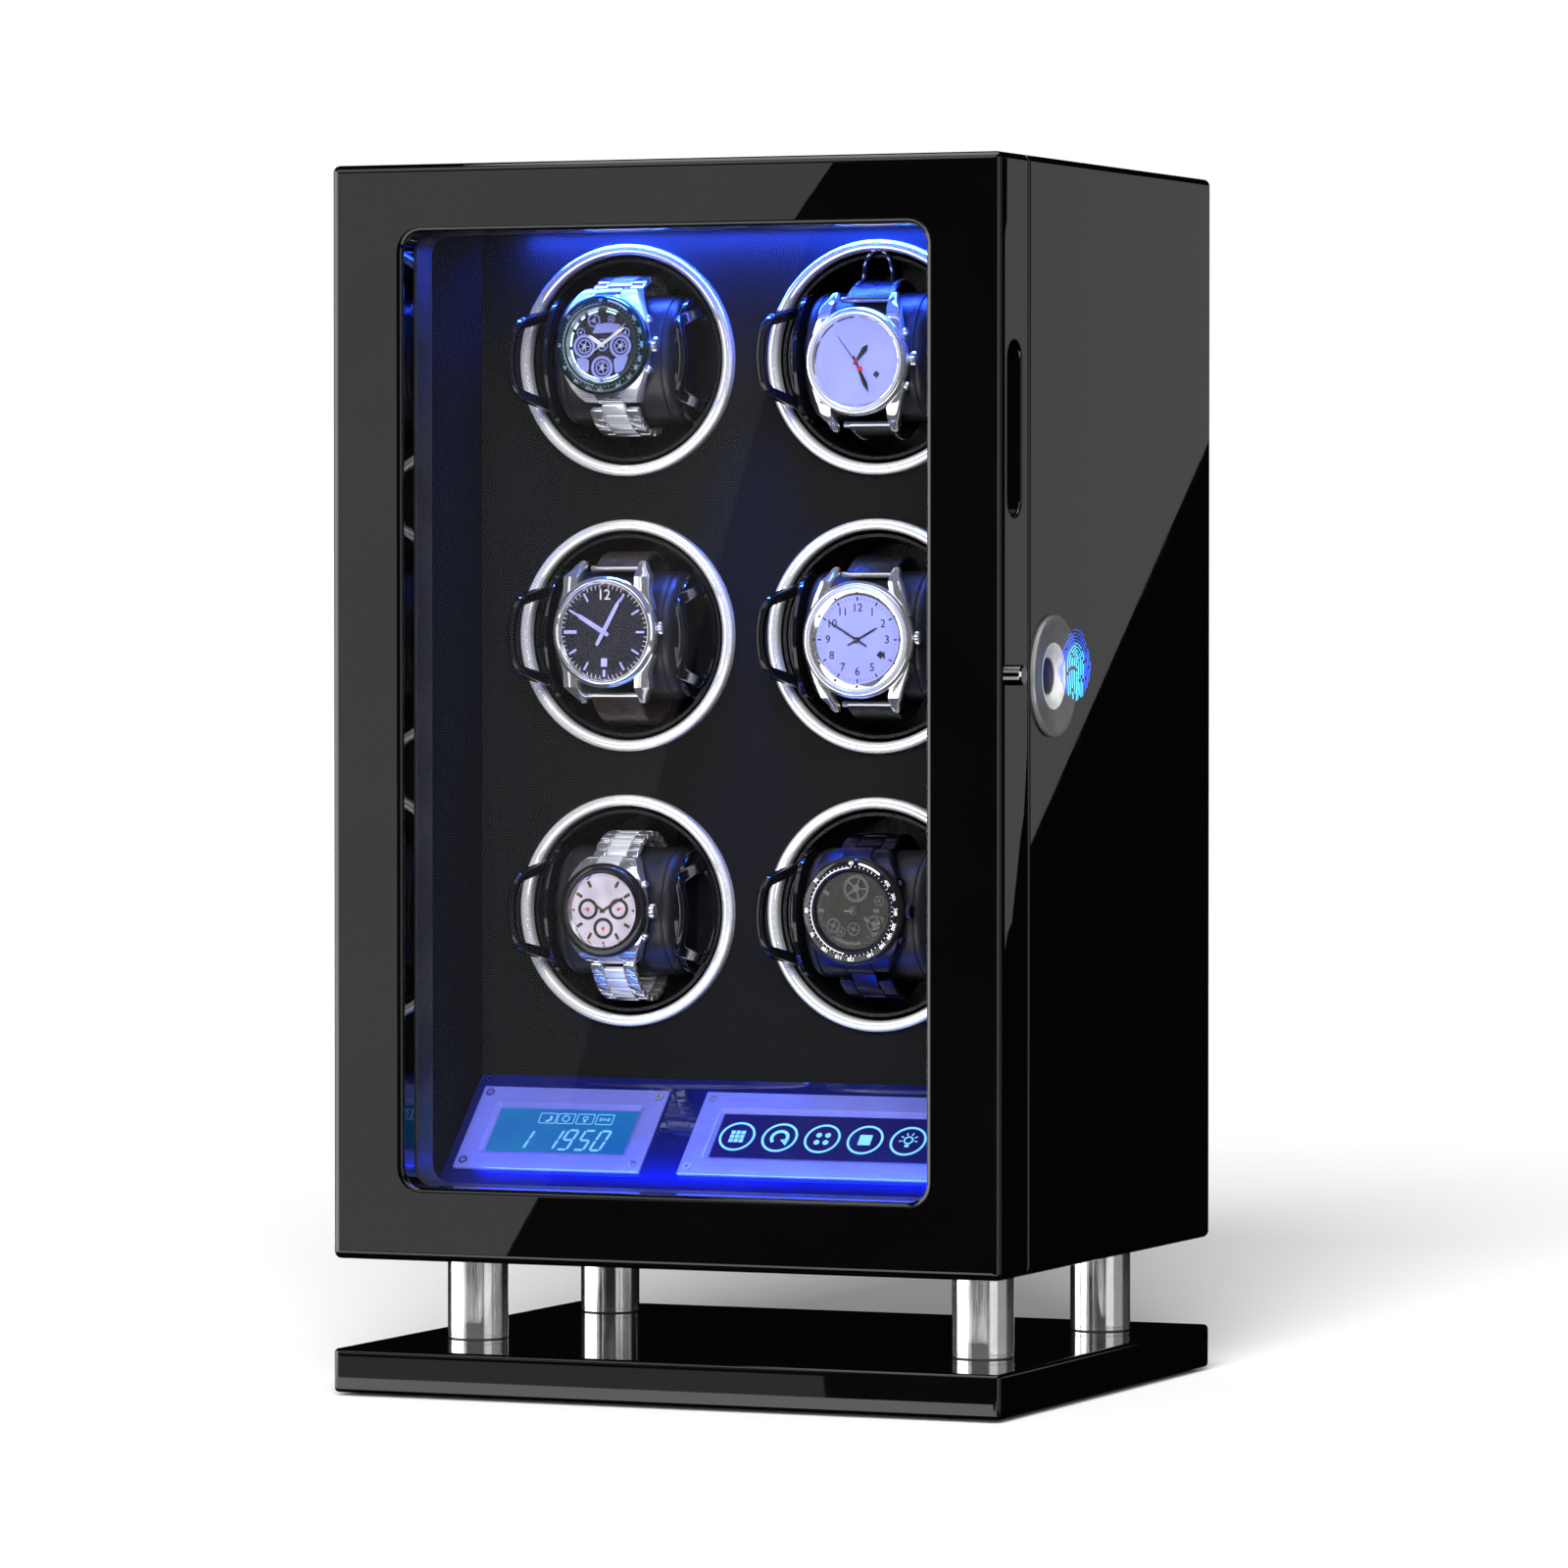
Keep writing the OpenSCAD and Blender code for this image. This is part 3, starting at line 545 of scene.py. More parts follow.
CAD_LOOKS = {
    "back": ["back_panel"],
    "screw": ["panel_screws", "post_bolts", "hinge_pins", "strike_plate"],
    "channel": ["led_light_bars"],
    "diffuser": ["led_diffusers"],
    "felt": ["base_pads"],
    "chassis": ["drive_chassis"],
    "motor": ["gear_motors", "latch_body"],
    "pcb": ["circuit_board"],
    "plastic": ["dc_jack"],
    "chrome": ["latch_bolt", "release_button"],
    "brass": ["cabinet_hinge_leaves", "door_hinge_leaves"],
    "velvet": ["chamber_liner"],
    "suede": ["rotor_panel"],
    "board": ["control_board"],
    "sensor": ["fingerprint_sensor"],
    "gear": [f"drive_pinion_{row}" for row in ("top", "middle", "bottom")],
    "rotor": [f"rotor_cup_{i}" for i in range(1, 7)],
}
for look, nodes in CAD_LOOKS.items():
    for node in nodes:
        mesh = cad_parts[node].data
        mesh.materials.clear()
        mesh.materials.append(M[look])


# ------------------------------------------------------------------ lacquered cabinet, door and plinth

def arc(steps):
    return [math.pi / 2 * i / steps for i in range(steps + 1)]


def rect_loop(x, z0, z1, r, y, n=5):
    return [(p[0], y, p[1]) for p in round_rect(2 * x, z1 - z0, r, n, 0, (z0 + z1) / 2)]


def hull_loops(x, z0, z1, corner, front, back, front_r, back_r):
    """Loops from the back edge to the front edge of a box with rounded edges."""
    loops = []
    for a in arc(4):
        d = back_r * (1 - math.sin(a))
        y = back - back_r * (1 - math.cos(a))
        loops.append(rect_loop(x - d, z0 + d, z1 - d, max(corner - d, 0.05), y))
    for a in arc(6):
        d = front_r * (1 - math.cos(a))
        y = front + front_r * (1 - math.sin(a))
        loops.append(rect_loop(x - d, z0 + d, z1 - d, max(corner - d, 0.05), y))
    return loops


def cut_box(lo, hi):
    w, d, h = hi[0] - lo[0], hi[1] - lo[1], hi[2] - lo[2]
    return loft([[(lo[0] + x * w, lo[1] + y * d, z) for x, y in ((0, 0), (1, 0), (1, 1), (0, 1))]
                 for z in (lo[2], lo[2] + h)])


def cut_tube(r, length, place, n=48):
    verts, faces = disc(r, 0, length, n)
    return [place @ v for v in verts], faces


HINGE_X, HINGE_Y = DOOR_LO.x - 1.5, (DOOR_HI.y + SHELL_LO.y) / 2
LEAF_LO, LEAF_HI = box_mm("cabinet_hinge_leaves")
HINGE_H = 44
HINGES = (LEAF_LO.z + HINGE_H / 2, LEAF_HI.z - HINGE_H / 2)
LATCH_LO, LATCH_HI = box_mm("latch_body")
LOCK = middle("lock_escutcheon")
BUTTON = middle("release_button")


def hinge_pockets(y0, y1):
    cuts = []
    for z in HINGES:
        cuts.append(cut_tube(2.9, HINGE_H + 2, Matrix.Translation((HINGE_X, HINGE_Y, z - HINGE_H / 2 - 1))))
        low, high = z - HINGE_H / 2 - 0.1, z + HINGE_H / 2 + 0.1
        cuts.append(cut_box((HINGE_X + 1.5, y0, low), (LEAF_HI.x + 0.1, y1, high)))
    return cuts


def make_cabinet():
    wall = 18
    x = SHELL_HI.x
    z0, z1 = SHELL_LO.z, SHELL_HI.z
    loops = hull_loops(x, z0, z1, 2.5, SHELL_LO.y, SHELL_HI.y, 1.2, 2.0)
    cave = (x - wall, z0 + wall, z1 - wall)
    for y in (SHELL_LO.y, SHELL_HI.y - 4.4):
        loops.append(rect_loop(*cave, 0.4, y))
    for y in (SHELL_HI.y - 4.4, SHELL_HI.y):
        loops.append(rect_loop(cave[0] + 6, cave[1] - 6, cave[2] + 6, 0.4, y))
    top = cave[2]
    led_channel = cut_box((-96, -38, top - 0.5), (96, -28, top + 5.4))
    latch_case = cut_box((LATCH_LO.x + 0.8, SHELL_LO.y - 1, LATCH_LO.z + 7.8),
                         (LATCH_HI.x - 0.8, LATCH_HI.y + 0.4, LATCH_HI.z - 7.8))
    latch_plate = cut_box((LATCH_LO.x - 0.2, SHELL_LO.y - 1, LATCH_LO.z - 0.2),
                          (LATCH_HI.x + 0.2, SHELL_LO.y + 1.4, LATCH_HI.z + 0.2))
    lock_bore = cut_tube(11, 20, to_right(x - 9, LOCK.y, LOCK.z))
    cuts = [led_channel, latch_case, latch_plate, lock_bore] + hinge_pockets(SHELL_LO.y - 1, SHELL_LO.y + 1.2)
    carved(Shape().add(loft(loops, closed=True)), "cabinet_body", cuts, "root", "cabinet_shell")


SLOT_W, SLOT_H, SLOT_DROP = 14.4, 63, 97.6       # finger slot, and how far its middle is below the door's top


def make_door():
    x = DOOR_HI.x
    front, back = DOOR_LO.y, DOOR_HI.y
    loops = hull_loops(x, DOOR_LO.z, DOOR_HI.z, 2.5, front, back, 3.0, 1.6)
    lip = 2.2
    for a in arc(6):
        d = lip * (1 - math.sin(a))
        y = front + lip * (1 - math.cos(a))
        loops.append(rect_loop(WINDOW_X + d, WINDOW_Z0 - d, WINDOW_Z1 + d, WINDOW_R + d, y))
    rebate = GLASS_LAP + 0.3
    loops.append(rect_loop(WINDOW_X, WINDOW_Z0, WINDOW_Z1, WINDOW_R, GLASS_LO.y))
    for y in (GLASS_LO.y, back):
        loops.append(rect_loop(WINDOW_X + rebate, WINDOW_Z0 - rebate, WINDOW_Z1 + rebate,
                               WINDOW_R + rebate, y))
    slot_z = DOOR_HI.z - SLOT_DROP

    def slot_loop(at_x, grow=0.0):
        outline = round_rect(SLOT_W + grow, SLOT_H + grow, (SLOT_W + grow) / 2, 10)
        return [(at_x, BUTTON.y + p[0], slot_z + p[1]) for p in outline]

    strike = middle("strike_plate")
    strike_plate = cut_box((strike.x - 6, back - 1.2, strike.z - 15), (strike.x + 6, back + 1, strike.z + 15))
    bolt_pocket = cut_box((strike.x - 4, back - 7, strike.z - 6.5), (strike.x + 4, back + 1, strike.z + 6.5))
    cuts = [loft([slot_loop(x - 10), slot_loop(x + 1)]),
            cut_tube(3.7, 13, to_right(x - 12, BUTTON.y, BUTTON.z)),
            strike_plate, bolt_pocket]
    carved(Shape().add(loft(loops, closed=True)), "door", cuts + hinge_pockets(back - 1.2, back + 1), "door",
           "door_frame")
    # softened lip round the finger slot
    turns = [math.pi * k / 12 for k in range(13)]
    rim = [slot_loop(x - 1.2 + 1.35 * math.sin(a), 1.5 * math.cos(a)) for a in turns]
    Shape().add(loft(rim, closed=True)).build("finger_slot_lip", M["lacquer"], "door", "piano_lacquer", 60)


def make_glass():
    depth = GLASS_HI.y - GLASS_LO.y
    w, h = GLASS_HI.x - GLASS_LO.x, GLASS_HI.z - GLASS_LO.z
    place = facing(0, GLASS_HI.y, (GLASS_LO.z + GLASS_HI.z) / 2)
    pane = Shape().add(slab(round_rect(w, h, WINDOW_R + GLASS_LAP, 6), 0, depth, 0.4), place)
    obj = pane.build("door_pane", M["glass"], "door", "door_glass", 20, True)
    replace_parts(obj, "door_glass")
    # black retaining frame behind the glass, with a rounded inner edge
    lo, hi = box_mm("glass_retainer")
    loops = []
    y0, y1 = lo.y, hi.y
    outer = (WINDOW_X + GLASS_LAP, WINDOW_Z0 - GLASS_LAP, WINDOW_Z1 + GLASS_LAP, WINDOW_R + GLASS_LAP)
    loops.append(rect_loop(*outer, y0))
    loops.append(rect_loop(*outer, y1))
    for a in arc(4):
        d = 1.2 * (1 - math.sin(a))
        loops.append(rect_loop(WINDOW_X + d, WINDOW_Z0 - d, WINDOW_Z1 + d, WINDOW_R + d,
                               y1 - 1.2 * (1 - math.cos(a))))
    loops.append(rect_loop(WINDOW_X, WINDOW_Z0, WINDOW_Z1, WINDOW_R, y0))
    shape = Shape().add(loft(loops[::-1], closed=True))
    obj = shape.build("retainer", M["plastic"], "door", "black_plastic", 30, True)
    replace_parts(obj, "glass_retainer")


POST_R = 11.25


def make_plinth():
    x, y = BASE_HI.x, BASE_HI.y
    r = 1.6
    rim = lambda d, z: [(p[0], p[1], z) for p in round_rect(2 * (x - d), 2 * (y - d), max(2.5 - d, 0.05), 5)]
    loops = [rim(r * (1 - math.sin(a)), BASE_LO.z + r * (1 - math.cos(a))) for a in arc(5)]
    loops += [rim(r * (1 - math.cos(a)), BASE_HI.z - r * (1 - math.sin(a))) for a in arc(5)]
    lo, hi = box_mm("support_posts")
    spots = [(px, py) for px in (lo.x + POST_R, hi.x - POST_R) for py in (lo.y + POST_R, hi.y - POST_R)]
    bolt_holes = [cut_tube(6, 5.5, Matrix.Translation((px, py, BASE_LO.z - 1))) for px, py in spots]
    carved(Shape().add(loft(loops)), "plinth", bolt_holes, "root", "base_plate")
    groove = POST_R - 0.25
    end = [(0, 0), (POST_R - 0.5, 0), (POST_R, 0.5), (POST_R, 1.4), (groove, 1.5),
           (groove, 1.8), (POST_R, 1.9)]
    profile = end + [(r, hi.z - lo.z - z) for r, z in end[::-1]]
    posts = Shape()
    for px, py in spots:
        posts.add(lathe(profile, 96), Matrix.Translation((px, py, lo.z)))
    obj = posts.build("posts", M["post"], "root", "post_steel", 40)
    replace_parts(obj, "support_posts")


make_cabinet()
make_door()
make_glass()
make_plinth()


# ------------------------------------------------------------------ trim rings

def make_rings():
    lo, hi = box_mm("trim_rings")
    outer = hi.x - ROTORS[1][0]
    depth = hi.y - lo.y
    width = 4.1
    shape = Shape()
    for x, z in ROTORS:
        mid = outer - width / 2
        profile = [(outer - width, 0), (outer, 0), (outer, depth - 1.6)]
        steps = 10
        for k in range(steps + 1):
            a = math.pi * k / steps
            profile.append((mid + width / 2 * math.cos(a), depth - 1.6 + 1.6 * math.sin(a)))
        shape.add(lathe(profile, 128, closed=True), facing(x, hi.y, z))
    obj = shape.build("rotor_trim_rings", M["ring"], "root", "ring_chrome", 50)
    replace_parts(obj, "trim_rings")


make_rings()


# ------------------------------------------------------------------ watch holders and cushions

CUSHION_A, CUSHION_B, CUSHION_Z = 24.5, 20.0, 21.5       # half height, half depth, axis ahead of the datum
HOLDER_R = 35.9
CASE_BACK = CUSHION_Z + CUSHION_B + 0.8


def on_rotor(i):
    """Local x right, y up, z towards the front, measured from the rotor's datum point."""
    x, z = ROTORS[i - 1]
    return facing(x, 0, z)


def round_poly(corners, r, n=5, step=None):
    """A polygon with its corners rounded, and its long sides divided at the given step."""
    pts = []
    m = len(corners)
    for i in range(m):
        a, b, c = (Vector(corners[k % m]) for k in (i - 1, i, i + 1))
        p = b + (a - b).normalized() * r
        q = b + (c - b).normalized() * r
        if step and pts:
            last = Vector(pts[-1])
            parts = int((p - last).length / step)
            pts += [tuple(last.lerp(p, k / (parts + 1))) for k in range(1, parts + 1)]
        for k in range(n + 1):
            t = k / n
            pts.append(tuple(p * (1 - t) ** 2 + b * 2 * t * (1 - t) + q * t * t))
    if step:
        last, first = Vector(pts[-1]), Vector(pts[0])
        parts = int((first - last).length / step)
        pts += [tuple(last.lerp(first, k / (parts + 1))) for k in range(1, parts + 1)]
    return pts


def stirrup(side):
    """The pull handle: a flat band that follows the flange's circle and stands forward of it."""
    r = HOLDER_R - 1.3
    half = lambda z: 17.9 - 5.2 * (z - 23) / 30
    path = round_poly([(-half(23), 23), (half(23), 23), (half(52.6), 52.6), (-half(52.6), 52.6)], 5, 5, 2.5)
    section = round_rect(2.5, 4.6, 0.9, 3)
    points = [Vector((side * math.sqrt(r * r - y * y), y, z)) for y, z in path]
    loops = []
    for k, p in enumerate(points):
        ahead = points[(k + 1) % len(points)] - points[k - 1]
        out = Vector((p.x, p.y, 0)).normalized()
        across = out.cross(ahead).normalized()
        loops.append([p + out * u + across * v for u, v in section])
    return loft(loops, closed=True)


def make_holder(i):
    place = on_rotor(i)
    shape = Shape()
    spread = math.asin(CUSHION_A / HOLDER_R)
    angles = [spread * k / 14 for k in range(-14, 15)]
    rim = [(HOLDER_R * math.cos(a), HOLDER_R * math.sin(a)) for a in angles]
    for side in (1, -1):
        flange = [(26.0, -CUSHION_A)] + rim + [(26.0, CUSHION_A)]
        if side < 0:
            flange = [(-x, y) for x, y in flange[::-1]]
        shape.add(slab(flange, 21, 24, 0.5), place)
        top = 22.8
        cheek = [(max(-top, min(top, CUSHION_A * math.cos(TAU * k / 64))),
                  CUSHION_Z + CUSHION_B * math.sin(TAU * k / 64))
                 for k in range(64)]
        shape.add(slab(cheek, 0, 2.2, 0.6), place @ sideways(25.4 if side > 0 else -27.6))
        shape.add(slab(round_rect(24, 16, 1, 2, 0, 2), 0, 2.2, 0.3),
                  place @ sideways(25.4 if side > 0 else -27.6))
        shape.add(stirrup(side), place)
    shape.add(slab(round_rect(55.2, 24, 1, 2), -6, -3, 0.3), place)
    shape.add(lathe([(0, -11.6), (10.6, -11.6), (11, -11.2), (11, -5.6), (0, -5.6)], 48), place)
    obj = shape.build(f"holder_{i}", M["holder"], f"holder_{i}", "holder_gloss", 32, True)
    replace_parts(obj, f"watch_holder_{i}")


def roll_mesh(swell):
    """The cushion before its cover is stretched: an elliptical roll with rounded ends, seams near them."""
    half, bend = 24.3, 4.4
    a, b = CUSHION_A - swell, CUSHION_B - swell
    stations = [(-half - 0.1, bend + 14), (-half - 0.05, bend + 9), (-half, bend + 4.5), (-half, bend + 1.5)]
    for k in range(6):
        t = math.pi / 2 * k / 5
        stations.append((-half + bend * (1 - math.cos(t)), bend * (1 - math.sin(t))))
    inner = half - bend
    steps = 30
    stations += [(-inner + 2 * inner * k / steps, 0) for k in range(1, steps)]
    stations += [(-x, d) for x, d in stations[:10][::-1]]
    n = 56
    loops = [[(x, (a - d) * math.cos(TAU * k / n), CUSHION_Z + (b - d) * math.sin(TAU * k / n))
              for k in range(n)]
             for x, d in stations]
    verts, faces = loft(loops, caps=False)
    for x, ring in ((-half - 0.1, range(n)), (half + 0.1, range(len(verts) - n, len(verts)))):
        ring = list(ring)
        tip = len(verts)
        verts.append(Vector((x, 0, CUSHION_Z)))
        for k in range(n):
            pair = [ring[k], ring[(k + 1) % n]]
            faces.append([tip] + (pair[::-1] if x < 0 else pair))
    return verts, faces, inner


CLOTH_SCALE = 10                     # the cover is simulated ten times its size, where cloth is steadier
COVER_SWELL = 0.7
COVER_REACH = 0.9                    # the furthest the air may push the cover from its drawn shape
SEAM_HALF, BAND_HALF = 0.7, 10.4     # half-widths of what holds the cover down: each seam, and the watch's band


def pin_cover(obj, inner):
    """The cloth's settings, with the cover held at its seams and under the band."""
    def held(x):
        return abs(x - inner) < SEAM_HALF or x < BAND_HALF
    pins = obj.vertex_groups.new(name="pins")
    pins.add([v.index for v in obj.data.vertices if held(abs(v.co.x) / MM / CLOTH_SCALE)], 1.0, "REPLACE")
    mod = obj.modifiers.new("cover", "CLOTH")
    for key, value in {"quality": 6, "mass": 0.25, "use_pressure": True, "uniform_pressure_force": 6,
                       "tension_stiffness": 12, "compression_stiffness": 12, "bending_stiffness": 2,
                       "vertex_group_mass": "pins"}.items():
        setattr(mod.settings, key, value)
    mod.settings.effector_weights.gravity = 0
    return mod.point_cache


def make_cushion_form():
    """Blows the cover up between its pinned seams and the watch band, and returns the finished form."""
    verts, faces, inner = roll_mesh(COVER_SWELL)
    mesh = bpy.data.meshes.new("roll")
    mesh.from_pydata([v * MM * CLOTH_SCALE for v in verts], [], faces)
    obj = put_in_scene("roll", mesh)
    cache = pin_cover(obj, inner)
    cache.frame_start, cache.frame_end = 1, 14
    for f in range(1, 15):
        bpy.context.scene.frame_set(f)
    mesh = evaluated_mesh(obj)
    bpy.context.scene.frame_set(1)
    shape = [v.co / MM / CLOTH_SCALE for v in mesh.vertices]
    bpy.data.objects.remove(obj)
    form = []
    for start, end in zip(verts, shape):
        move = end - start
        if move.length > COVER_REACH:
            move = move.normalized() * COVER_REACH
        p = start + move
        axis = Vector((p.x, 0, CUSHION_Z))
        out = (p - axis).normalized() if (p - axis).length > 1 else Vector((0, 0, 0))
        p = p - out * 0.55 * math.exp(-((abs(p.x) - inner) / 0.55) ** 2)
        over = math.hypot(p.y / (CUSHION_A + 0.1), (p.z - CUSHION_Z) / (CUSHION_B + 0.1))
        if over > 1:
            p = Vector((p.x, p.y / over, CUSHION_Z + (p.z - CUSHION_Z) / over))
        form.append(p)
    return form, faces, inner


def make_cushions():
    form, faces, inner = make_cushion_form()
    for i in range(1, 7):
        place = on_rotor(i)
        mesh = bpy.data.meshes.new(f"cushion_cover_{i}")
        mesh.from_pydata([place @ p * MM for p in form], [], faces)
        obj = finish_mesh(f"cushion_cover_{i}", mesh, M["cushion"], f"holder_{i}", 80)
        mod = obj.modifiers.new("smooth", "SUBSURF")
        mod.levels = mod.render_levels = 1
        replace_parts(obj, f"cushion_{i}")
        welt = Shape()
        for x in (-inner, inner):
            path = [(x, (CUSHION_A - 0.9) * math.cos(TAU * k / 72),
                     CUSHION_Z + (CUSHION_B - 0.9) * math.sin(TAU * k / 72))
                    for k in range(72)]
            welt.add(tube(path, 0.42, 8, True, Vector((1, 0.01, 0.02))), place)
        welt.build(f"cushion_welt_{i}", M["cushion"], f"holder_{i}", "cushion_leather", 60)


for n in range(1, 7):
    make_holder(n)
make_cushions()


# ------------------------------------------------------------------ watches

W = {
    "steel": metal("watch_steel", (0.95, 0.96, 1.0), 0.09, shine=0.93),
    "brushed": metal("watch_brushed", (0.86, 0.87, 0.94), 0.22, (1, 90, 90), 0.15, 0.7),
    "navy": metal("watch_black_steel", (0.045, 0.045, 0.09), 0.36),
    "ceramic": plastic("bezel_ceramic", (0.006, 0.006, 0.007), 0.06, relief=0.0),
    "green": plastic("bezel_green", (0.003, 0.009, 0.010), 0.08, relief=0.0),
    "strap": leather("strap_black", (0.005, 0.005, 0.006), 0.3, 1500, 0.2),
    "croc": leather("strap_croc", (0.020, 0.015, 0.012), 0.3, 330, 0.8),
    "lavender": metal("dial_lavender", (0.16, 0.18, 0.52), 0.5, shine=0.0),
    "silver": plastic("dial_silver", (0.24, 0.22, 0.27), 0.4),
    "ink": plastic("dial_ink", (0.004, 0.004, 0.010), 0.22),
    "slate": plastic("dial_slate", (0.010, 0.010, 0.009), 0.5),
    "works": metal("watch_works", (0.16, 0.18, 0.46), 0.4, shine=0.3),
    "dark_works": metal("dark_works", (0.075, 0.075, 0.072), 0.5, shine=0.3),
    "white": plastic("mark_white", (0.34, 0.34, 0.40), 0.5),
    "bright": plastic("mark_bright", (0.75, 0.75, 0.80), 0.5),
    "pale": plastic("mark_pale", (0.16, 0.22, 0.30), 0.5),
    "violet": plastic("mark_violet", (0.20, 0.20, 0.44), 0.4),
    "black": plastic("mark_black", (0.008, 0.008, 0.009), 0.4),
    "brown": plastic("mark_brown", (0.03, 0.015, 0.006), 0.4),
    "red": plastic("mark_red", (0.35, 0.01, 0.01), 0.4),
    "gold": metal("mark_gold", (0.6, 0.5, 0.08), 0.4),
    # The pale cyan marks glow: painted light, an emission standing in for light falling on them.
    "lume": lit("mark_painted_glow", (0.5, 0.8, 0.9), (0.35, 0.85, 1.0), 0.7),
    "crystal": clear("watch_crystal", 0.12),
}
SLOTS = {
    "steel": "watch_steel", "brushed": "watch_steel",
    "navy": "watch_black_steel", "ceramic": "watch_black_steel",
    "green": "watch_black_steel", "strap": "watch_strap", "croc": "watch_strap", "crystal": "watch_crystal",
}


class Watch:
    """One watch on its cushion. Each material's pieces are collected and made as one object."""

    def __init__(self, i, up, right, band_w):
        self.i = i
        self.place = on_rotor(i)
        self.centre = self.place @ Matrix.Translation((right, up, CASE_BACK))
        self.right = right
        self.up = up
        self.band_w = band_w
        self.shapes = {}

    def add(self, look, part, local=None, from_centre=True):
        base = self.centre if from_centre else self.place
        self.shapes.setdefault(look, Shape()).add(part, base @ local if local else base)

    def build(self):
        for look, shape in self.shapes.items():
            obj = shape.build(f"watch_{self.i}_{look}", W[look], f"holder_{self.i}",
                              SLOTS.get(look, "watch_dial"), 38)
            if look in ("steel", "navy"):
                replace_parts(obj, f"watch_{self.i}")


def turned(degrees):
    return Matrix.Rotation(-math.radians(degrees), 4, "Z")


def dial_mark(degrees, radius, z):
    return turned(degrees) @ Matrix.Translation((0, radius, z))


def add_case(w, r, look="steel"):
    profile = [(0, 0), (r - 3.4, 0), (r - 1.6, 0.7), (r - 0.3, 2.2), (r, 3.0), (r, 4.4),
               (r - 0.4, 5.0), (0, 5.0)]
    w.add(look, lathe(profile, 96))


def add_bezel(w, outer, inner, look, low=5.0, high=7.9, dome=0.9):
    profile = [(inner, low), (outer, low), (outer, low + 1.0), (outer - dome, high - 0.25),
               (outer - dome - 0.4, high)]
    profile += [(inner + 0.5, high), (inner, high - 0.5)]
    w.add(look, lathe(profile, 96, closed=True))


def add_dial(w, r, look, rehaut="steel", z=5.9):
    w.add(look, disc(r, 5.2, z, 96))
    if rehaut:
        ring = [(r - 1.1, z - 0.1), (r + 0.3, z - 0.1), (r + 0.3, 7.3), (r - 0.1, 7.3)]
        w.add(rehaut, lathe(ring, 96, closed=True))


def add_crystal(w, r):
    w.add("crystal", lathe([(0, 7.75), (r, 7.75), (r, 8.05), (r - 0.5, 8.3), (r * 0.6, 8.5), (0, 8.58)], 64))


def add_hand(w, look, degrees, length, tail, width, z, tip=0.35):
    outline = [(-width * 0.35, -tail), (width * 0.35, -tail), (width / 2, 0), (width * 0.42, length * 0.78),
               (tip * width / 2, length * 0.96), (0, length), (-tip * width / 2, length * 0.96),
               (-width * 0.42, length * 0.78), (-width / 2, 0)]
    w.add(look, slab(outline, z, z + 0.22, 0.04), turned(degrees))


def add_hub(w, look, r=0.8, z=6.3):
    w.add(look, lathe([(0, z), (r, z), (r, z + 0.9), (r * 0.6, z + 1.1), (0, z + 1.1)], 24))


def add_ticks(w, look, r, length, width, count, z, skip=0):
    for k in range(count):
        if skip and k % skip == 0:
            continue
        w.add(look, block(width, length, 0.14, 0.02), dial_mark(360 * k / count, r, z))


def add_crown(w, look, r, degrees=90, size=2.6, reach=3.2):
    outline = [tuple(c * (1 if k % 2 else 0.9) for c in p) for k, p in enumerate(circle_pts(size, 44))]
    at_rim = turned(degrees - 90) @ Matrix.Translation((r - 0.6, 0, 3.4)) @ sideways(0)
    w.add(look, disc(size * 0.55, 0, 1.6, 20), at_rim)
    w.add(look, slab(outline, 1.3, reach, 0.3), at_rim)


def add_pusher(w, look, r, degrees, size=1.5, reach=3.0):
    at_rim = turned(degrees - 90) @ Matrix.Translation((r - 0.8, 0, 3.4)) @ sideways(0)
    profile = [(0, 0), (size * 0.6, 0), (size * 0.6, 1.5), (size, 1.7), (size, reach - 0.3),
               (size - 0.3, reach), (0, reach)]
    w.add(look, lathe(profile, 24), at_rim)


def section_at(x, y, width, z_top, z_low, r=0.5):
    return [(x + p[0], y, (z_top + z_low) / 2 + p[1]) for p in round_rect(width, z_top - z_low, r, 2)]


def add_long_lugs(w, r, look="steel", reach=25.4, foot=11.6, facet=False):
    """Four lugs that leave the case at a slant and drop towards the strap."""
    for sx in (1, -1):
        for sy in (1, -1):
            stations = [(r * 0.80, r * 0.40, 6.0, 5.0, 1.0), (r * 0.70, r * 0.72, 5.6, 5.1, 0.4),
                        (foot + 1.4, r * 1.0, 4.4, 4.2, -1.2), (foot + 0.4, reach - 3.0, 3.0, 1.4, -3.6),
                        (foot, reach - 0.6, 2.3, -1.2, -5.0), (foot, reach, 1.6, -2.2, -4.6)]
            if facet:
                stations[2] = (foot + 2.2, r * 1.0, 5.6, 4.9, -1.2)
                stations[3] = (foot + 0.8, reach - 2.6, 3.2, 1.0, -3.8)
            loops = [section_at(sx * x, sy * y, wd, zt, zl, 0.25 if facet else 0.7)
                     for x, y, wd, zt, zl in stations]
            w.add(look, loft(loops))


def add_shoulders(w, r, look, mid_look):
    """Broad lugs that run into a bracelet, with an end link between them."""
    half = w.band_w / 2
    for sy in (1, -1):
        for sx in (1, -1):
            rows = [(0.30, 0.93, 5.0, 0.8), (0.62, 0.86, 5.0, 0.0), (0.86, 0.74, 4.0, -2.6),
                    (1.02, 0.645, 1.6, -5.6),
                    (1.14, half / r + 0.02, -1.6, -8.2)]
            inner = half * 0.52
            loops = [section_at(sx * (inner + f * r) / 2, sy * y * r, f * r - inner, zt, zl, 0.6)
                     for y, f, zt, zl in rows]
            w.add(look, loft(loops))
        rows = [(0.80, 4.2, -1.0), (0.92, 3.2, -3.2), (1.05, 0.9, -6.0), (1.16, -2.0, -8.6)]
        w.add(mid_look, loft([section_at(0, sy * y * r, 2 * half * 0.51, zt, zl, 0.4) for y, zt, zl in rows]))


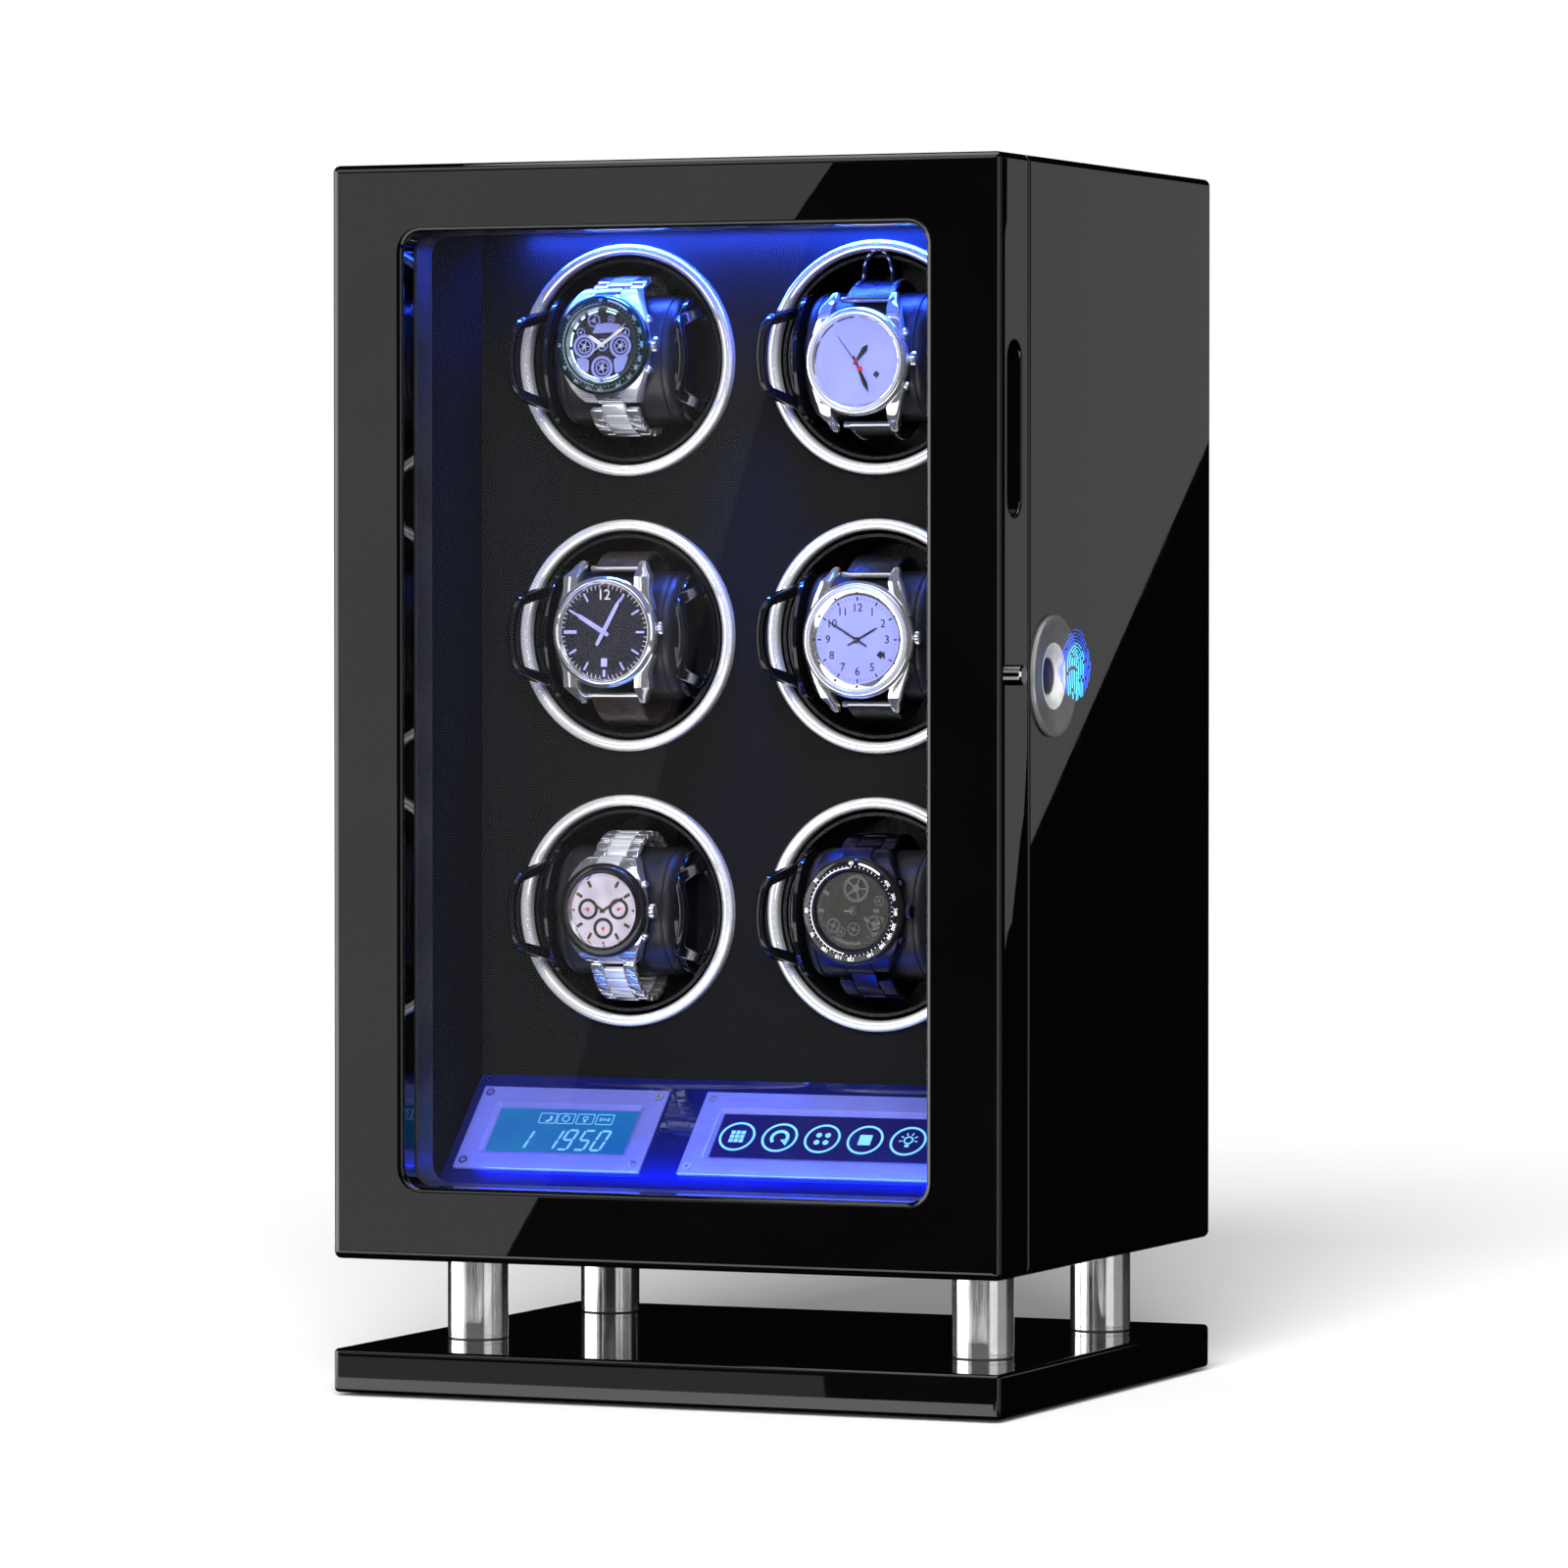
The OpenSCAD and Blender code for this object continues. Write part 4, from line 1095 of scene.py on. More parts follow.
class Band:
    """The curve a band follows: an ellipse from the lower lugs, behind the cushion, to the upper lugs."""

    def __init__(self, w, reach, top, low):
        self.mid = (top + low) / 2
        self.a = (top - low) / 2 - 1.2
        self.b = CUSHION_B + 1.6
        self.start = math.asin(min(0.999, (w.up + reach - self.mid) / self.a))
        self.end = TAU - math.asin(min(0.999, (reach - w.up + self.mid) / self.a))
        self.shift = w.right

    def point(self, a):
        return Vector((self.shift, self.mid + self.a * math.sin(a), CUSHION_Z + self.b * math.cos(a)))

    def stops(self, step):
        fine = 900
        pts = [self.point(self.start + (self.end - self.start) * k / fine) for k in range(fine + 1)]
        run = [0.0]
        for a, b in zip(pts, pts[1:]):
            run.append(run[-1] + (b - a).length)
        count = max(1, round(run[-1] / step))
        out = []
        k = 0
        for j in range(count + 1):
            goal = run[-1] * j / count
            while k < fine - 1 and run[k + 1] < goal:
                k += 1
            p = pts[k].lerp(pts[k + 1], (goal - run[k]) / (run[k + 1] - run[k]))
            t = (pts[k + 1] - pts[k]).normalized()
            out.append(Matrix(((1, 0, 0, p.x), (0, t.y, -t.z, p.y), (0, t.z, t.y, p.z), (0, 0, 0, 1))))
        return out


def add_bracelet(w, band, look, mid_look, pitch=4.7, taper=0.12):
    """Three rows of links along the band, the middle row set half a pitch on."""
    stops = band.stops(pitch / 2)
    total = len(stops) - 1
    for k, stop in enumerate(stops[:-1]):
        width = w.band_w * (1 - taper * (1 - abs(2 * k / total - 1)))
        mid, side = width * 0.46, width * 0.26
        if k % 2:
            w.add(mid_look, slab(round_rect(mid, pitch - 0.3, 0.9, 3), -1.15, 1.2, 0.4), stop, False)
        else:
            for sx in (1, -1):
                link = slab(round_rect(side, pitch - 0.3, 0.7, 3), -1.15, 1.15, 0.35)
                w.add(look, link, stop @ Matrix.Translation((sx * (mid + side + 0.3) / 2, 0, 0)), False)


def add_strap(w, band, look, thread=None):
    """A leather strap along the band, thicker near the case, with stitches."""
    stops = band.stops(1.4)
    total = len(stops) - 1
    spread = lambda k: abs(2 * k / total - 1)
    loops = []
    for k, stop in enumerate(stops):
        section = round_rect(w.band_w * (0.84 + 0.14 * spread(k)), 1.9 + 0.7 * spread(k) ** 3, 0.7, 3)
        loops.append([stop @ Vector((p[0], 0, p[1] - 0.1)) for p in section])
    w.add(look, loft(loops), None, False)
    if thread:
        for k in range(2, total - 1, 2):
            for sx in (1, -1):
                side = sx * (w.band_w * (0.42 + 0.07 * spread(k)) - 1.5)
                w.add(thread, slab(round_rect(0.45, 1.7, 0.2, 2), 0.85, 1.35, 0.1), stops[k] @ at(side, 0),
                      False)
    for a in (band.start, band.end):
        p = band.point(a)
        rod = Matrix.Translation((p.x - w.band_w / 2 - 1.4, p.y, p.z)) @ Matrix.Rotation(math.pi / 2, 4, "Y")
        w.add("steel", disc(1.1, 0, w.band_w + 2.8, 16), rod, False)


def cog(r, teeth, z0, z1, spokes=4, hub=0.28, rim=0.76):
    """A small wheel with teeth, spokes and a hub."""
    shape = Shape()
    outer = [tuple(c * (1 if k % 4 in (1, 2) else 0.9) for c in p)
             for k, p in enumerate(circle_pts(r, teeth * 4))]
    shape.add(frame_plate(outer, circle_pts(r * rim, teeth * 4), z0, z1, 0.03))
    shape.add(disc(r * hub, z0, z1 + 0.1, 20))
    for k in range(spokes):
        arm = slab(round_rect(r * 0.13, r * rim, 0.02, 1, 0, r * rim / 2), z0, z1, 0.02)
        shape.add(arm, turned(360 * k / spokes + 20))
    return shape.verts, shape.faces


def arc_bar(r0, r1, a0, a1, z0, z1, n=14):
    """A flat bar bent on a circle, from one clock angle to another."""
    outline = []
    for r, order in ((r1, range(n + 1)), (r0, range(n, -1, -1))):
        for k in order:
            a = math.radians(90 - (a0 + (a1 - a0) * k / n))
            outline.append((r * math.cos(a), r * math.sin(a)))
    return slab(outline[::-1], z0, z1)


def add_tachymeter(w, inner, outer, look, z):
    """A speed scale: bars, ticks and figures round the bezel."""
    figures = [(60, 0), (400, 9 * 6), (300, 12 * 6), (240, 15 * 6), (200, 18 * 6), (180, 20 * 6),
               (160, 22.5 * 6),
               (140, 25.7 * 6), (120, 30 * 6), (110, 32.7 * 6), (100, 36 * 6), (90, 40 * 6),
               (80, 45 * 6), (70, 51.4 * 6)]
    mid = (inner + outer) / 2 + 0.2
    for value, angle in figures:
        w.add(look, text_part(str(value), (outer - inner) * 0.5, 0.12), dial_mark(angle, mid, z))
    w.add(look, arc_bar(mid - 0.35, mid + 0.35, 10, 40, z - 0.05, z + 0.06))
    w.add(look, arc_bar(inner + 0.2, inner + 0.42, 190, 358, z - 0.05, z + 0.06, 40))
    for k in range(60):
        w.add(look, block(0.16, 0.55 if k % 5 else 0.9, 0.12, 0.02), dial_mark(6 * k, inner + 0.85, z - 0.05))


def watch_1(w):
    """Steel chronograph with a skeleton dial and a green-black bezel."""
    add_case(w, 18.4)
    add_shoulders(w, 18.4, "brushed", "steel")
    add_bracelet(w, Band(w, 21.0, 31.2, -28.2), "steel", "brushed")
    add_bezel(w, 18.6, 14.4, "green", high=7.7)
    add_tachymeter(w, 14.7, 17.9, "pale", 7.72)
    add_bezel(w, 14.7, 14.2, "green", 6.0, 8.1, 0.2)
    add_dial(w, 14.1, "ink")
    # pale cyan marks round the dial, lit by a painted glow
    for a0, a1 in ((184, 236), (238, 262), (268, 292), (298, 310), (318, 326), (334, 352),
                   (8, 26), (150, 180)):
        w.add("lume", arc_bar(12.2, 12.8, a0, a1, 6.0, 6.2))
    for x, y, tilt in ((-7.1, -0.5, 200), (7.4, -0.5, 60), (0, -8.4, 0)):
        spot = at(x, y)
        w.add("works", ring_part(3.3, 4.3, 6.0, 6.5), spot)
        w.add("works", cog(2.9, 16, 6.0, 6.25, 5), spot)
        w.add("white", slab([(-0.2, -0.8), (0.2, -0.8), (0, 2.8)], 6.5, 6.6), spot @ turned(tilt))
    bridge = round_poly([(-4.2, 4.2), (5.4, 4.6), (7.8, 7.4), (1.5, 8.2), (-2.2, 7.4)], 1.0)
    w.add("works", slab(bridge, 6.0, 6.35, 0.06))
    w.add("works", slab(round_poly([(-10.4, -4.6), (-5.4, -5.2), (-5.6, -10.2), (-9.2, -8.8)], 1.2),
                        6.0, 6.3, 0.06))
    w.add("works", slab(round_poly([(4.6, -5.0), (10.6, -4.0), (8.4, -9.4), (5.2, -10.6)], 1.2),
                        6.0, 6.3, 0.06))
    for x, y, r, teeth in ((-3.4, 9.0, 2.6, 14), (9.2, 4.4, 2.0, 12), (-8.6, 4.6, 1.8, 12),
                           (0, 0, 2.4, 18), (3.6, 9.4, 1.4, 10)):
        w.add("works", cog(r, teeth, 5.95, 6.15, 3), at(x, y))
    add_hand(w, "white", 304, 6.2, 1.2, 1.6, 6.75, 0.5)
    add_hand(w, "white", 56, 11.2, 1.6, 1.2, 6.95, 0.5)
    add_hand(w, "white", 52, 12.6, 5.0, 0.35, 7.15)
    add_hub(w, "white", 0.8, 6.6)
    add_crystal(w, 14.0)
    add_crown(w, "steel", 18.4)
    for a in (62, 118):
        add_pusher(w, "steel", 18.4, a, 1.6, 3.2)


def watch_2(w):
    """Steel watch with a plain lavender dial, dagger hands and a black strap."""
    add_case(w, 19.6)
    add_long_lugs(w, 19.6)
    add_strap(w, Band(w, 22.6, 28.4, -30.0), "strap", "pale")
    add_bezel(w, 19.8, 17.6, "steel", high=7.6, dome=0.7)
    add_bezel(w, 17.9, 16.9, "brushed", 6.2, 8.0, 0.3)
    add_dial(w, 16.9, "lavender")
    for k in range(12):
        look = "black" if k in (9, 10, 11) else "steel"
        w.add(look, arc_bar(15.9, 16.7, 30 * k + 3, 30 * k + 27, 6.1, 6.5))
    dagger = [(-0.25, -1.4), (0.25, -1.4), (0.7, 3.0), (1.1, 5.6), (0, 7.6), (-1.1, 5.6), (-0.7, 3.0)]
    w.add("black", slab(dagger, 6.5, 6.7, 0.05), turned(38))
    long_dagger = [(x * 0.85, y * 1.62) for x, y in dagger]
    w.add("black", slab(long_dagger, 6.75, 6.95, 0.05), turned(156))
    w.add("red", disc(0.9, 6.9, 7.05), dial_mark(146, 3.2, 0))
    w.add("red", lathe([(0, 7.0), (0.7, 7.0), (0.5, 7.2), (0, 7.2)], 24))
    add_hand(w, "black", 323, 12.2, 2.0, 0.26, 7.05)
    w.add("black", slab(round_rect(1.9, 1.9, 0.1, 1), 5.95, 6.1), dial_mark(122, 9.2, 0) @ turned(10))
    add_crystal(w, 16.9)
    add_crown(w, "steel", 19.6, 88, 2.4, 3.4)
    for a in (60, 116):
        add_pusher(w, "steel", 19.6, a, 1.5, 3.0)
    # the strap's tail stands up in a loop over the cushion
    top = CUSHION_A + 3.2
    path = [Vector((w.right - 0.5 + 5.6 * math.cos(math.pi * k / 16),
                    top + 11.5 * math.sin(math.pi * k / 16) ** 0.8, 22 + 0.5 * k / 16))
            for k in range(17)]
    w.add("strap", sweep(path, round_rect(9, 1.7, 0.6, 3), Vector((0.02, 0.02, 1))), None, False)
    for k in range(1, 16, 2):
        a = math.pi * (k + 0.5) / 16
        p = Vector((w.right - 0.5 + 5.6 * math.cos(a), top + 11.5 * math.sin(a) ** 0.8, 26.7))
        w.add("bright", block(0.55, 1.5, 0.3, 0.1), Matrix.Translation(p) @ Matrix.Rotation(a, 4, "Z"), False)


def watch_3(w):
    """Polished dress watch: dark dial, long batons, a 12, a date at 6 and a grained strap."""
    add_case(w, 20.4)
    add_long_lugs(w, 20.4, "steel", 26.2, 12.0, True)
    add_strap(w, Band(w, 23.4, 31.4, -33.4), "croc")
    add_bezel(w, 20.6, 18.1, "steel", high=7.7, dome=1.2)
    add_dial(w, 18.1, "ink", "steel")
    for k in range(1, 12):
        if k != 6:
            length = 3.4 if k != 9 else 5.2
            w.add("violet", block(0.8 if k != 9 else 1.3, length, 0.3, 0.12),
                  dial_mark(30 * k, 16.2 - length / 2, 5.95))
    add_ticks(w, "white", 16.6, 1.2, 0.22, 60, 5.95, 5)
    w.add("white", text_part("12", 5.4, 0.3), Matrix.Translation((0, 13.6, 6.05)))
    w.add("violet", block(2.5, 3.1, 0.25, 0.1), Matrix.Translation((0, -11.2, 5.95)))
    w.add("violet", block(1.1, 2.6, 0.25, 0.1), Matrix.Translation((0, -15.2, 5.95)))
    add_hand(w, "violet", 29, 14.6, 5.6, 1.7, 6.75, 0.25)
    add_hand(w, "violet", 301, 13.8, 2.2, 1.9, 6.45, 0.25)
    add_hub(w, "violet", 1.0, 6.4)
    add_crystal(w, 18.0)
    add_crown(w, "steel", 20.4, 86, 2.3, 2.8)


def watch_4(w):
    """Steel watch with a stepped bezel, a lavender dial with figures and a black strap."""
    add_case(w, 21.2)
    add_long_lugs(w, 21.2, "steel", 26.4, 11.8)
    add_strap(w, Band(w, 23.6, 29.8, -31.4), "strap")
    add_bezel(w, 21.4, 19.4, "steel", high=7.0, dome=0.8)
    add_bezel(w, 19.7, 18.3, "brushed", 6.2, 8.0, 0.5)
    add_dial(w, 18.4, "lavender", None)
    w.add("steel", lathe([(16.0, 5.8), (18.5, 5.8), (18.5, 7.3), (18.1, 7.3)], 96, closed=True))
    for k in range(12):
        w.add("black", lathe([(0, 0), (0.6, 0), (0.4, 0.3), (0, 0.3)], 16), dial_mark(30 * k, 17.2, 6.5))
        w.add("black", text_part(str(k or 12), 4.2, 0.16), dial_mark(30 * k, 11.6, 6.0) @ turned(-30 * k))
        w.add("black", block(0.6, 1.3, 0.16, 0.04), dial_mark(30 * k, 14.9, 5.97))
    add_ticks(w, "black", 14.9, 0.7, 0.14, 60, 5.95, 5)
    add_hand(w, "black", 61, 9.2, 4.2, 0.8, 6.4, 0.4)
    add_hand(w, "black", 301, 13.4, 4.6, 0.75, 6.65, 0.4)
    add_hub(w, "black", 1.0, 6.3)
    w.add("black", slab(round_rect(2.2, 2.2, 0.1, 1), 5.95, 6.1), dial_mark(121, 10.6, 0) @ turned(10))
    add_crystal(w, 18.2)
    add_crown(w, "steel", 21.2, 88, 2.4, 2.9)


def watch_5(w):
    """Steel chronograph with a black bezel, a silver dial and three ringed counters."""
    add_case(w, 17.2)
    add_shoulders(w, 17.2, "steel", "brushed")
    add_bracelet(w, Band(w, 19.4, 29.6, -33.6), "steel", "brushed", 4.5)
    add_bezel(w, 17.5, 13.7, "ceramic", high=8.0, dome=1.0)
    add_dial(w, 13.8, "silver", "steel")
    for x, y, tilt in ((-6.1, 0.4, 272), (6.2, 0.6, 76), (0, -6.6, 182)):
        spot = at(x, y)
        w.add("black", ring_part(2.8, 3.9, 5.9, 6.2), spot)
        w.add("red", slab([(-0.22, -0.7), (0.22, -0.7), (0, 2.3)], 6.3, 6.42), spot @ turned(tilt))
        w.add("red", lathe([(0, 6.3), (0.6, 6.3), (0.5, 6.55), (0, 6.55)], 20), spot)
    for k in (1, 2, 4, 5, 7, 8, 10, 11):
        w.add("brown", block(1.15, 2.6, 0.3, 0.15), dial_mark(30 * k, 11.0, 5.9))
    for k in (3, 6, 9):
        w.add("brown", block(0.8, 0.9, 0.3, 0.1), dial_mark(30 * k, 12.0, 5.9))
    add_ticks(w, "black", 12.9, 0.5, 0.12, 60, 5.9)
    add_hand(w, "brown", 305, 5.6, 1.0, 0.9, 6.6, 0.5)
    add_hand(w, "brown", 59, 9.8, 1.2, 0.8, 6.8, 0.5)
    add_hub(w, "black", 0.6, 6.4)
    add_crystal(w, 13.7)
    add_crown(w, "steel", 17.2)
    for a in (58, 122):
        add_pusher(w, "steel", 17.2, a, 1.5, 3.0)


def watch_6(w):
    """Blackened chronograph with a scale on its bezel and an open dial of dark wheels."""
    add_case(w, 19.6, "navy")
    add_shoulders(w, 19.6, "navy", "navy")
    add_bracelet(w, Band(w, 22.2, 29.6, -30.6), "navy", "navy", 7.0, 0.05)
    add_bezel(w, 19.8, 15.2, "ceramic", high=7.7)
    add_tachymeter(w, 15.4, 19.1, "bright", 7.72)
    add_dial(w, 15.1, "slate", "navy")
    for x, y, r, teeth, spokes in ((1.4, 8.2, 5.2, 26, 5), (-7.6, -5.4, 2.8, 16, 4), (-4.6, -7.6, 2.0, 12, 3),
                                   (0.4, -6.6, 2.6, 14, 4), (8.6, -4.6, 3.2, 18, 4),
                                   (0, 0, 1.6, 14, 3), (10.4, 3.8, 2.0, 12, 3)):
        w.add("dark_works", cog(r, teeth, 5.9, 6.2, spokes), at(x, y))
    for x, y, a in ((-10.2, 6.4, 30), (-12.2, 0, 0), (9.4, 0.2, 0), (5.6, -3.2, 40)):
        w.add("dark_works", slab(round_rect(2.4, 1.4, 0.4, 2), 5.9, 6.3, 0.08), at(x, y) @ turned(a))
    w.add("dark_works", arc_bar(10.4, 12.6, 100, 138, 5.9, 6.2))
    w.add("dark_works", arc_bar(11.4, 12.4, 165, 215, 5.9, 6.2))
    add_hand(w, "gold", 268, 3.4, 0.4, 0.28, 6.4)
    add_hub(w, "dark_works", 0.9, 6.2)
    add_crystal(w, 15.1)
    add_crown(w, "navy", 19.6)
    for a in (60, 120):
        add_pusher(w, "navy", 19.6, a, 1.6, 3.0)


# each watch: how far its middle sits above and to the right of the rotor's axis, and its band's width
for number, (dress, up, right, band_w) in enumerate((
        (watch_1, 5.0, 0.2, 20), (watch_2, -2.1, 1.2, 19), (watch_3, 1.4, 0.8, 20),
        (watch_4, -1.2, 1.6, 20), (watch_5, 0.9, 0.4, 18), (watch_6, 2.2, -0.2, 21)), 1):
    watch = Watch(number, up, right, band_w)
    dress(watch)
    watch.build()


# ------------------------------------------------------------------ control panel

LCD_X, LCD_W = -106, 75.4
TOUCH_X, TOUCH_W = -15.6, 121.6
BEZEL_TOP, BEZEL_H, BEZEL_T, WINDOW_EDGE = -7, 40.8, 1.5, 9.6
SCREW_INSET = 3.4                    # from the middle of a screw to the bezel's edges
WINDOW_H = BEZEL_H - 2 * WINDOW_EDGE
WINDOW_MID = BEZEL_TOP - BEZEL_H / 2


def on_slope(x, s, z=0.0):
    return ON_BOARD @ Matrix.Translation((x, s, z))


def make_bezel(name, x, w, node):
    """Brushed plate with a window whose edge falls away to the display."""
    cx = x + w / 2
    flat = lambda ow, oh, r, z: [(p[0], p[1], z) for p in round_rect(ow, oh, r, 4, cx, WINDOW_MID)]
    ww = w - 2 * WINDOW_EDGE
    loops = [flat(w - 0.4, BEZEL_H - 0.4, 0.5, 0), flat(w, BEZEL_H, 0.6, 0.4), flat(w, BEZEL_H, 0.6, 1.2),
             flat(w - 0.6, BEZEL_H - 0.6, 0.5, 1.5), flat(ww + 4.2, WINDOW_H + 4.2, 1.2, 1.5),
             flat(ww + 3.2, WINDOW_H + 3.2, 1.0, 1.3), flat(ww + 0.5, WINDOW_H + 0.5, 0.6, 0.5),
             flat(ww, WINDOW_H, 0.5, 0.2), flat(ww, WINDOW_H, 0.5, 0)]
    shape = Shape().add(loft(loops, closed=True), ON_BOARD)
    obj = shape.build(name, M["aluminium"], "root", "bezel_aluminium", 30, True)
    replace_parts(obj, node)


def seven_segment(ch, h, w, t):
    """One digit as slanted bars."""
    shape = Shape()
    bars = {
        "a": (0, h, 0), "b": (w / 2, h * 0.75, 1), "c": (w / 2, h * 0.25, 1), "d": (0, 0, 0),
        "e": (-w / 2, h * 0.25, 1),
        "f": (-w / 2, h * 0.75, 1), "g": (0, h / 2, 0),
    }
    lit_bars = {"1": "bc", "9": "abcdfg", "5": "acdfg", "0": "abcdef"}[ch]
    lean = Matrix(((1, 0.22, 0, 0), (0, 1, 0, 0), (0, 0, 1, 0), (0, 0, 0, 1)))
    for name in lit_bars:
        x, y, upright = bars[name]
        half = (h / 2 if upright else w) / 2 - 0.12
        tip = t / 2
        pts = [(-half, 0), (-half + tip, -tip), (half - tip, -tip), (half, 0),
               (half - tip, tip), (-half + tip, tip)]
        if upright:
            pts = [(-b, a) for a, b in pts]
        shape.add(slab([(x + a, y + b) for a, b in pts], 0, 0.1), lean)
    return shape.verts, shape.faces


def outline_box(w, h, t):
    return frame_plate(round_rect(w, h, 0.5, 2), round_rect(w - 2 * t, h - 2 * t, 0.4, 2), 0, 0.08, 0.01)


def make_lcd():
    cx = LCD_X + LCD_W / 2
    w = LCD_W - 2 * WINDOW_EDGE + 2
    h = WINDOW_H + 2
    left, low = cx - w / 2 + 1, WINDOW_MID - h / 2 + 1
    screen = Shape().add(slab(round_rect(w, h, 0.3, 2, cx, WINDOW_MID), -8, -0.12), ON_BOARD)
    obj = screen.build("lcd_screen", M["lcd"], "root", "lcd_display", 20)
    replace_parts(obj, "lcd_module")
    marks = Shape()
    for text, at_x, size, width in (("1", 0.235, 9.0, 4.6), ("1", 0.44, 9.6, 5), ("9", 0.545, 9.6, 5),
                                    ("5", 0.665, 9.6, 5),
                                    ("0", 0.78, 9.6, 5)):
        marks.add(seven_segment(text, size, width * 0.78, 0.95),
                  on_slope(left + at_x * (w - 2), low + 1.9, -0.12))
    icons = [on_slope(left + f * (w - 2), low + WINDOW_H - 4.4, -0.12) for f in (0.36, 0.49, 0.63, 0.77)]
    for spot in icons:
        marks.add(outline_box(7.0, 5.2, 0.32), spot)
    moon = arc_bar(0.9, 1.8, 40, 200, 0, 0.08)
    marks.add(moon, icons[0])
    for a in (20, 200):
        marks.add(arc_bar(1.15, 1.6, a, a + 120, 0, 0.08), icons[1])
        marks.add(slab([(0.3, -0.7), (1.3, 0), (0.3, 0.7)], 0, 0.08),
                  icons[1] @ turned(a + 120) @ at(0, 1.35))
    marks.add(ring_part(0.7, 1.1, 0, 0.08, 24), icons[2] @ at(0, 0.4))
    marks.add(block(0.9, 1.1, 0.08, 0.02), icons[2] @ at(0, -1.2))
    marks.add(disc(0.5, 0, 0.08, 16), icons[3])
    for r in (1.0, 1.7):
        for a in (60, 240):
            marks.add(arc_bar(r, r + 0.35, a, a + 60, 0, 0.08), icons[3])
    marks.build("lcd_marks", M["lcd_mark"], "root", "lcd_display", 20)


def glyph(kind):
    shape = Shape()
    if kind == "grid":
        for gx in (-1, 0, 1):
            for gy in (-1, 0, 1):
                shape.add(block(1.7, 1.7, 0.12, 0.04), at(gx * 2.05, gy * 2.05))
    elif kind == "turn":
        shape.add(arc_bar(2.5, 3.8, 225, 495, 0, 0.12, 24))
        shape.add(slab([(-1.9, -0.4), (1.9, -0.4), (0, 2.4)], 0, 0.12),
                  turned(135) @ at(0, 3.15, 0, math.pi / 2))
    elif kind == "dots":
        for gx in (-1, 1):
            for gy in (-1, 1):
                shape.add(disc(1.15, 0, 0.12, 20), at(gx * 1.8, gy * 1.8))
    elif kind == "stop":
        shape.add(block(5.0, 5.0, 0.12, 0.1))
    elif kind == "lamp":
        shape.add(ring_part(1.35, 1.95, 0, 0.12, 24), at(0, 0.5))
        shape.add(block(1.7, 1.3, 0.12, 0.05), at(0, -2.3))
        for a in (-100, -60, -20, 20, 60, 100):
            shape.add(block(0.5, 1.3, 0.12, 0.05), at(0, 0.5) @ turned(a) @ at(0, 3.1))
    else:
        shape.add(arc_bar(2.5, 3.2, 35, 325, 0, 0.12, 24))
        shape.add(block(0.7, 3.2, 0.12, 0.05), at(0, 2.2))
    return shape.verts, shape.faces


def make_touch():
    cx = TOUCH_X + TOUCH_W / 2
    outline = round_rect(TOUCH_W - 2 * WINDOW_EDGE + 2, WINDOW_H + 2, 0.3, 2, cx, WINDOW_MID)
    panel = Shape().add(slab(outline, -6, -0.14), ON_BOARD)
    obj = panel.build("touch_glass", M["touch"], "root", "touch_glass", 20)
    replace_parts(obj, "touch_panel")
    icons = Shape()
    for k, kind in enumerate(("grid", "turn", "dots", "stop", "lamp", "power")):
        spot = on_slope(2.1 + 16.9 * k, WINDOW_MID, -0.14)
        icons.add(ring_part(6.1, 7.0, 0, 0.12, 64), spot)
        icons.add(glyph(kind), spot @ Matrix.Scale(0.98, 4))
    icons.build("touch_icons", M["icon"], "root", "touch_glass", 20)


def make_bezel_screws():
    """Pan heads with a cross, set over the plain heads of the screws."""
    heads, slots = Shape(), Shape()
    pan_head = [(0, 0), (1.72, 0), (1.72, 0.2), (1.45, 0.5), (0.9, 0.62), (0, 0.64)]
    for x, w in ((LCD_X, LCD_W), (TOUCH_X, TOUCH_W)):
        for u in (SCREW_INSET, w - SCREW_INSET):
            for v in (SCREW_INSET, BEZEL_H - SCREW_INSET):
                spot = on_slope(x + u, BEZEL_TOP - v, BEZEL_T)
                heads.add(lathe(pan_head, 32), spot)
                for a in (30, 120):
                    slots.add(block(0.26, 1.5, 0.1, 0.03), spot @ at(0, 0, 0.58) @ turned(a))
    # The screw heads take the bezels' colour, with its painted blue LED light.
    heads.build("bezel_screw_heads", M["aluminium"], "root", "screw_steel", 40)
    slots.build("bezel_screw_slots", M["plastic"], "root", "screw_steel", 40)


make_bezel("lcd_frame", LCD_X, LCD_W, "lcd_bezel")
make_bezel("touch_frame", TOUCH_X, TOUCH_W, "touch_bezel")
make_lcd()
make_touch()
make_bezel_screws()


# ------------------------------------------------------------------ fingerprint lock

LOCK_SPOT = to_right(SHELL_HI.x, LOCK.y, LOCK.z)
LOCK_R = (box_mm("lock_escutcheon")[1].z - box_mm("lock_escutcheon")[0].z) / 2
LOCK_OUT = box_mm("lock_escutcheon")[1].x - SHELL_HI.x


def plate_height(r):
    """How far the lock plate's face stands out from the wall at radius r."""
    if r > LOCK_R:
        return 0.0
    if r > LOCK_R - 2:
        return LOCK_OUT
    if r > 12.1:
        return 0.6 + (LOCK_OUT - 0.6) * ((r - 12.1) / (LOCK_R - 14.1)) ** 1.2
    if r > 10.6:
        return 0.3 + 0.2 * (r - 10.6)
    return max(-2.1, 0.3 - (10.6 - r) * 0.571)


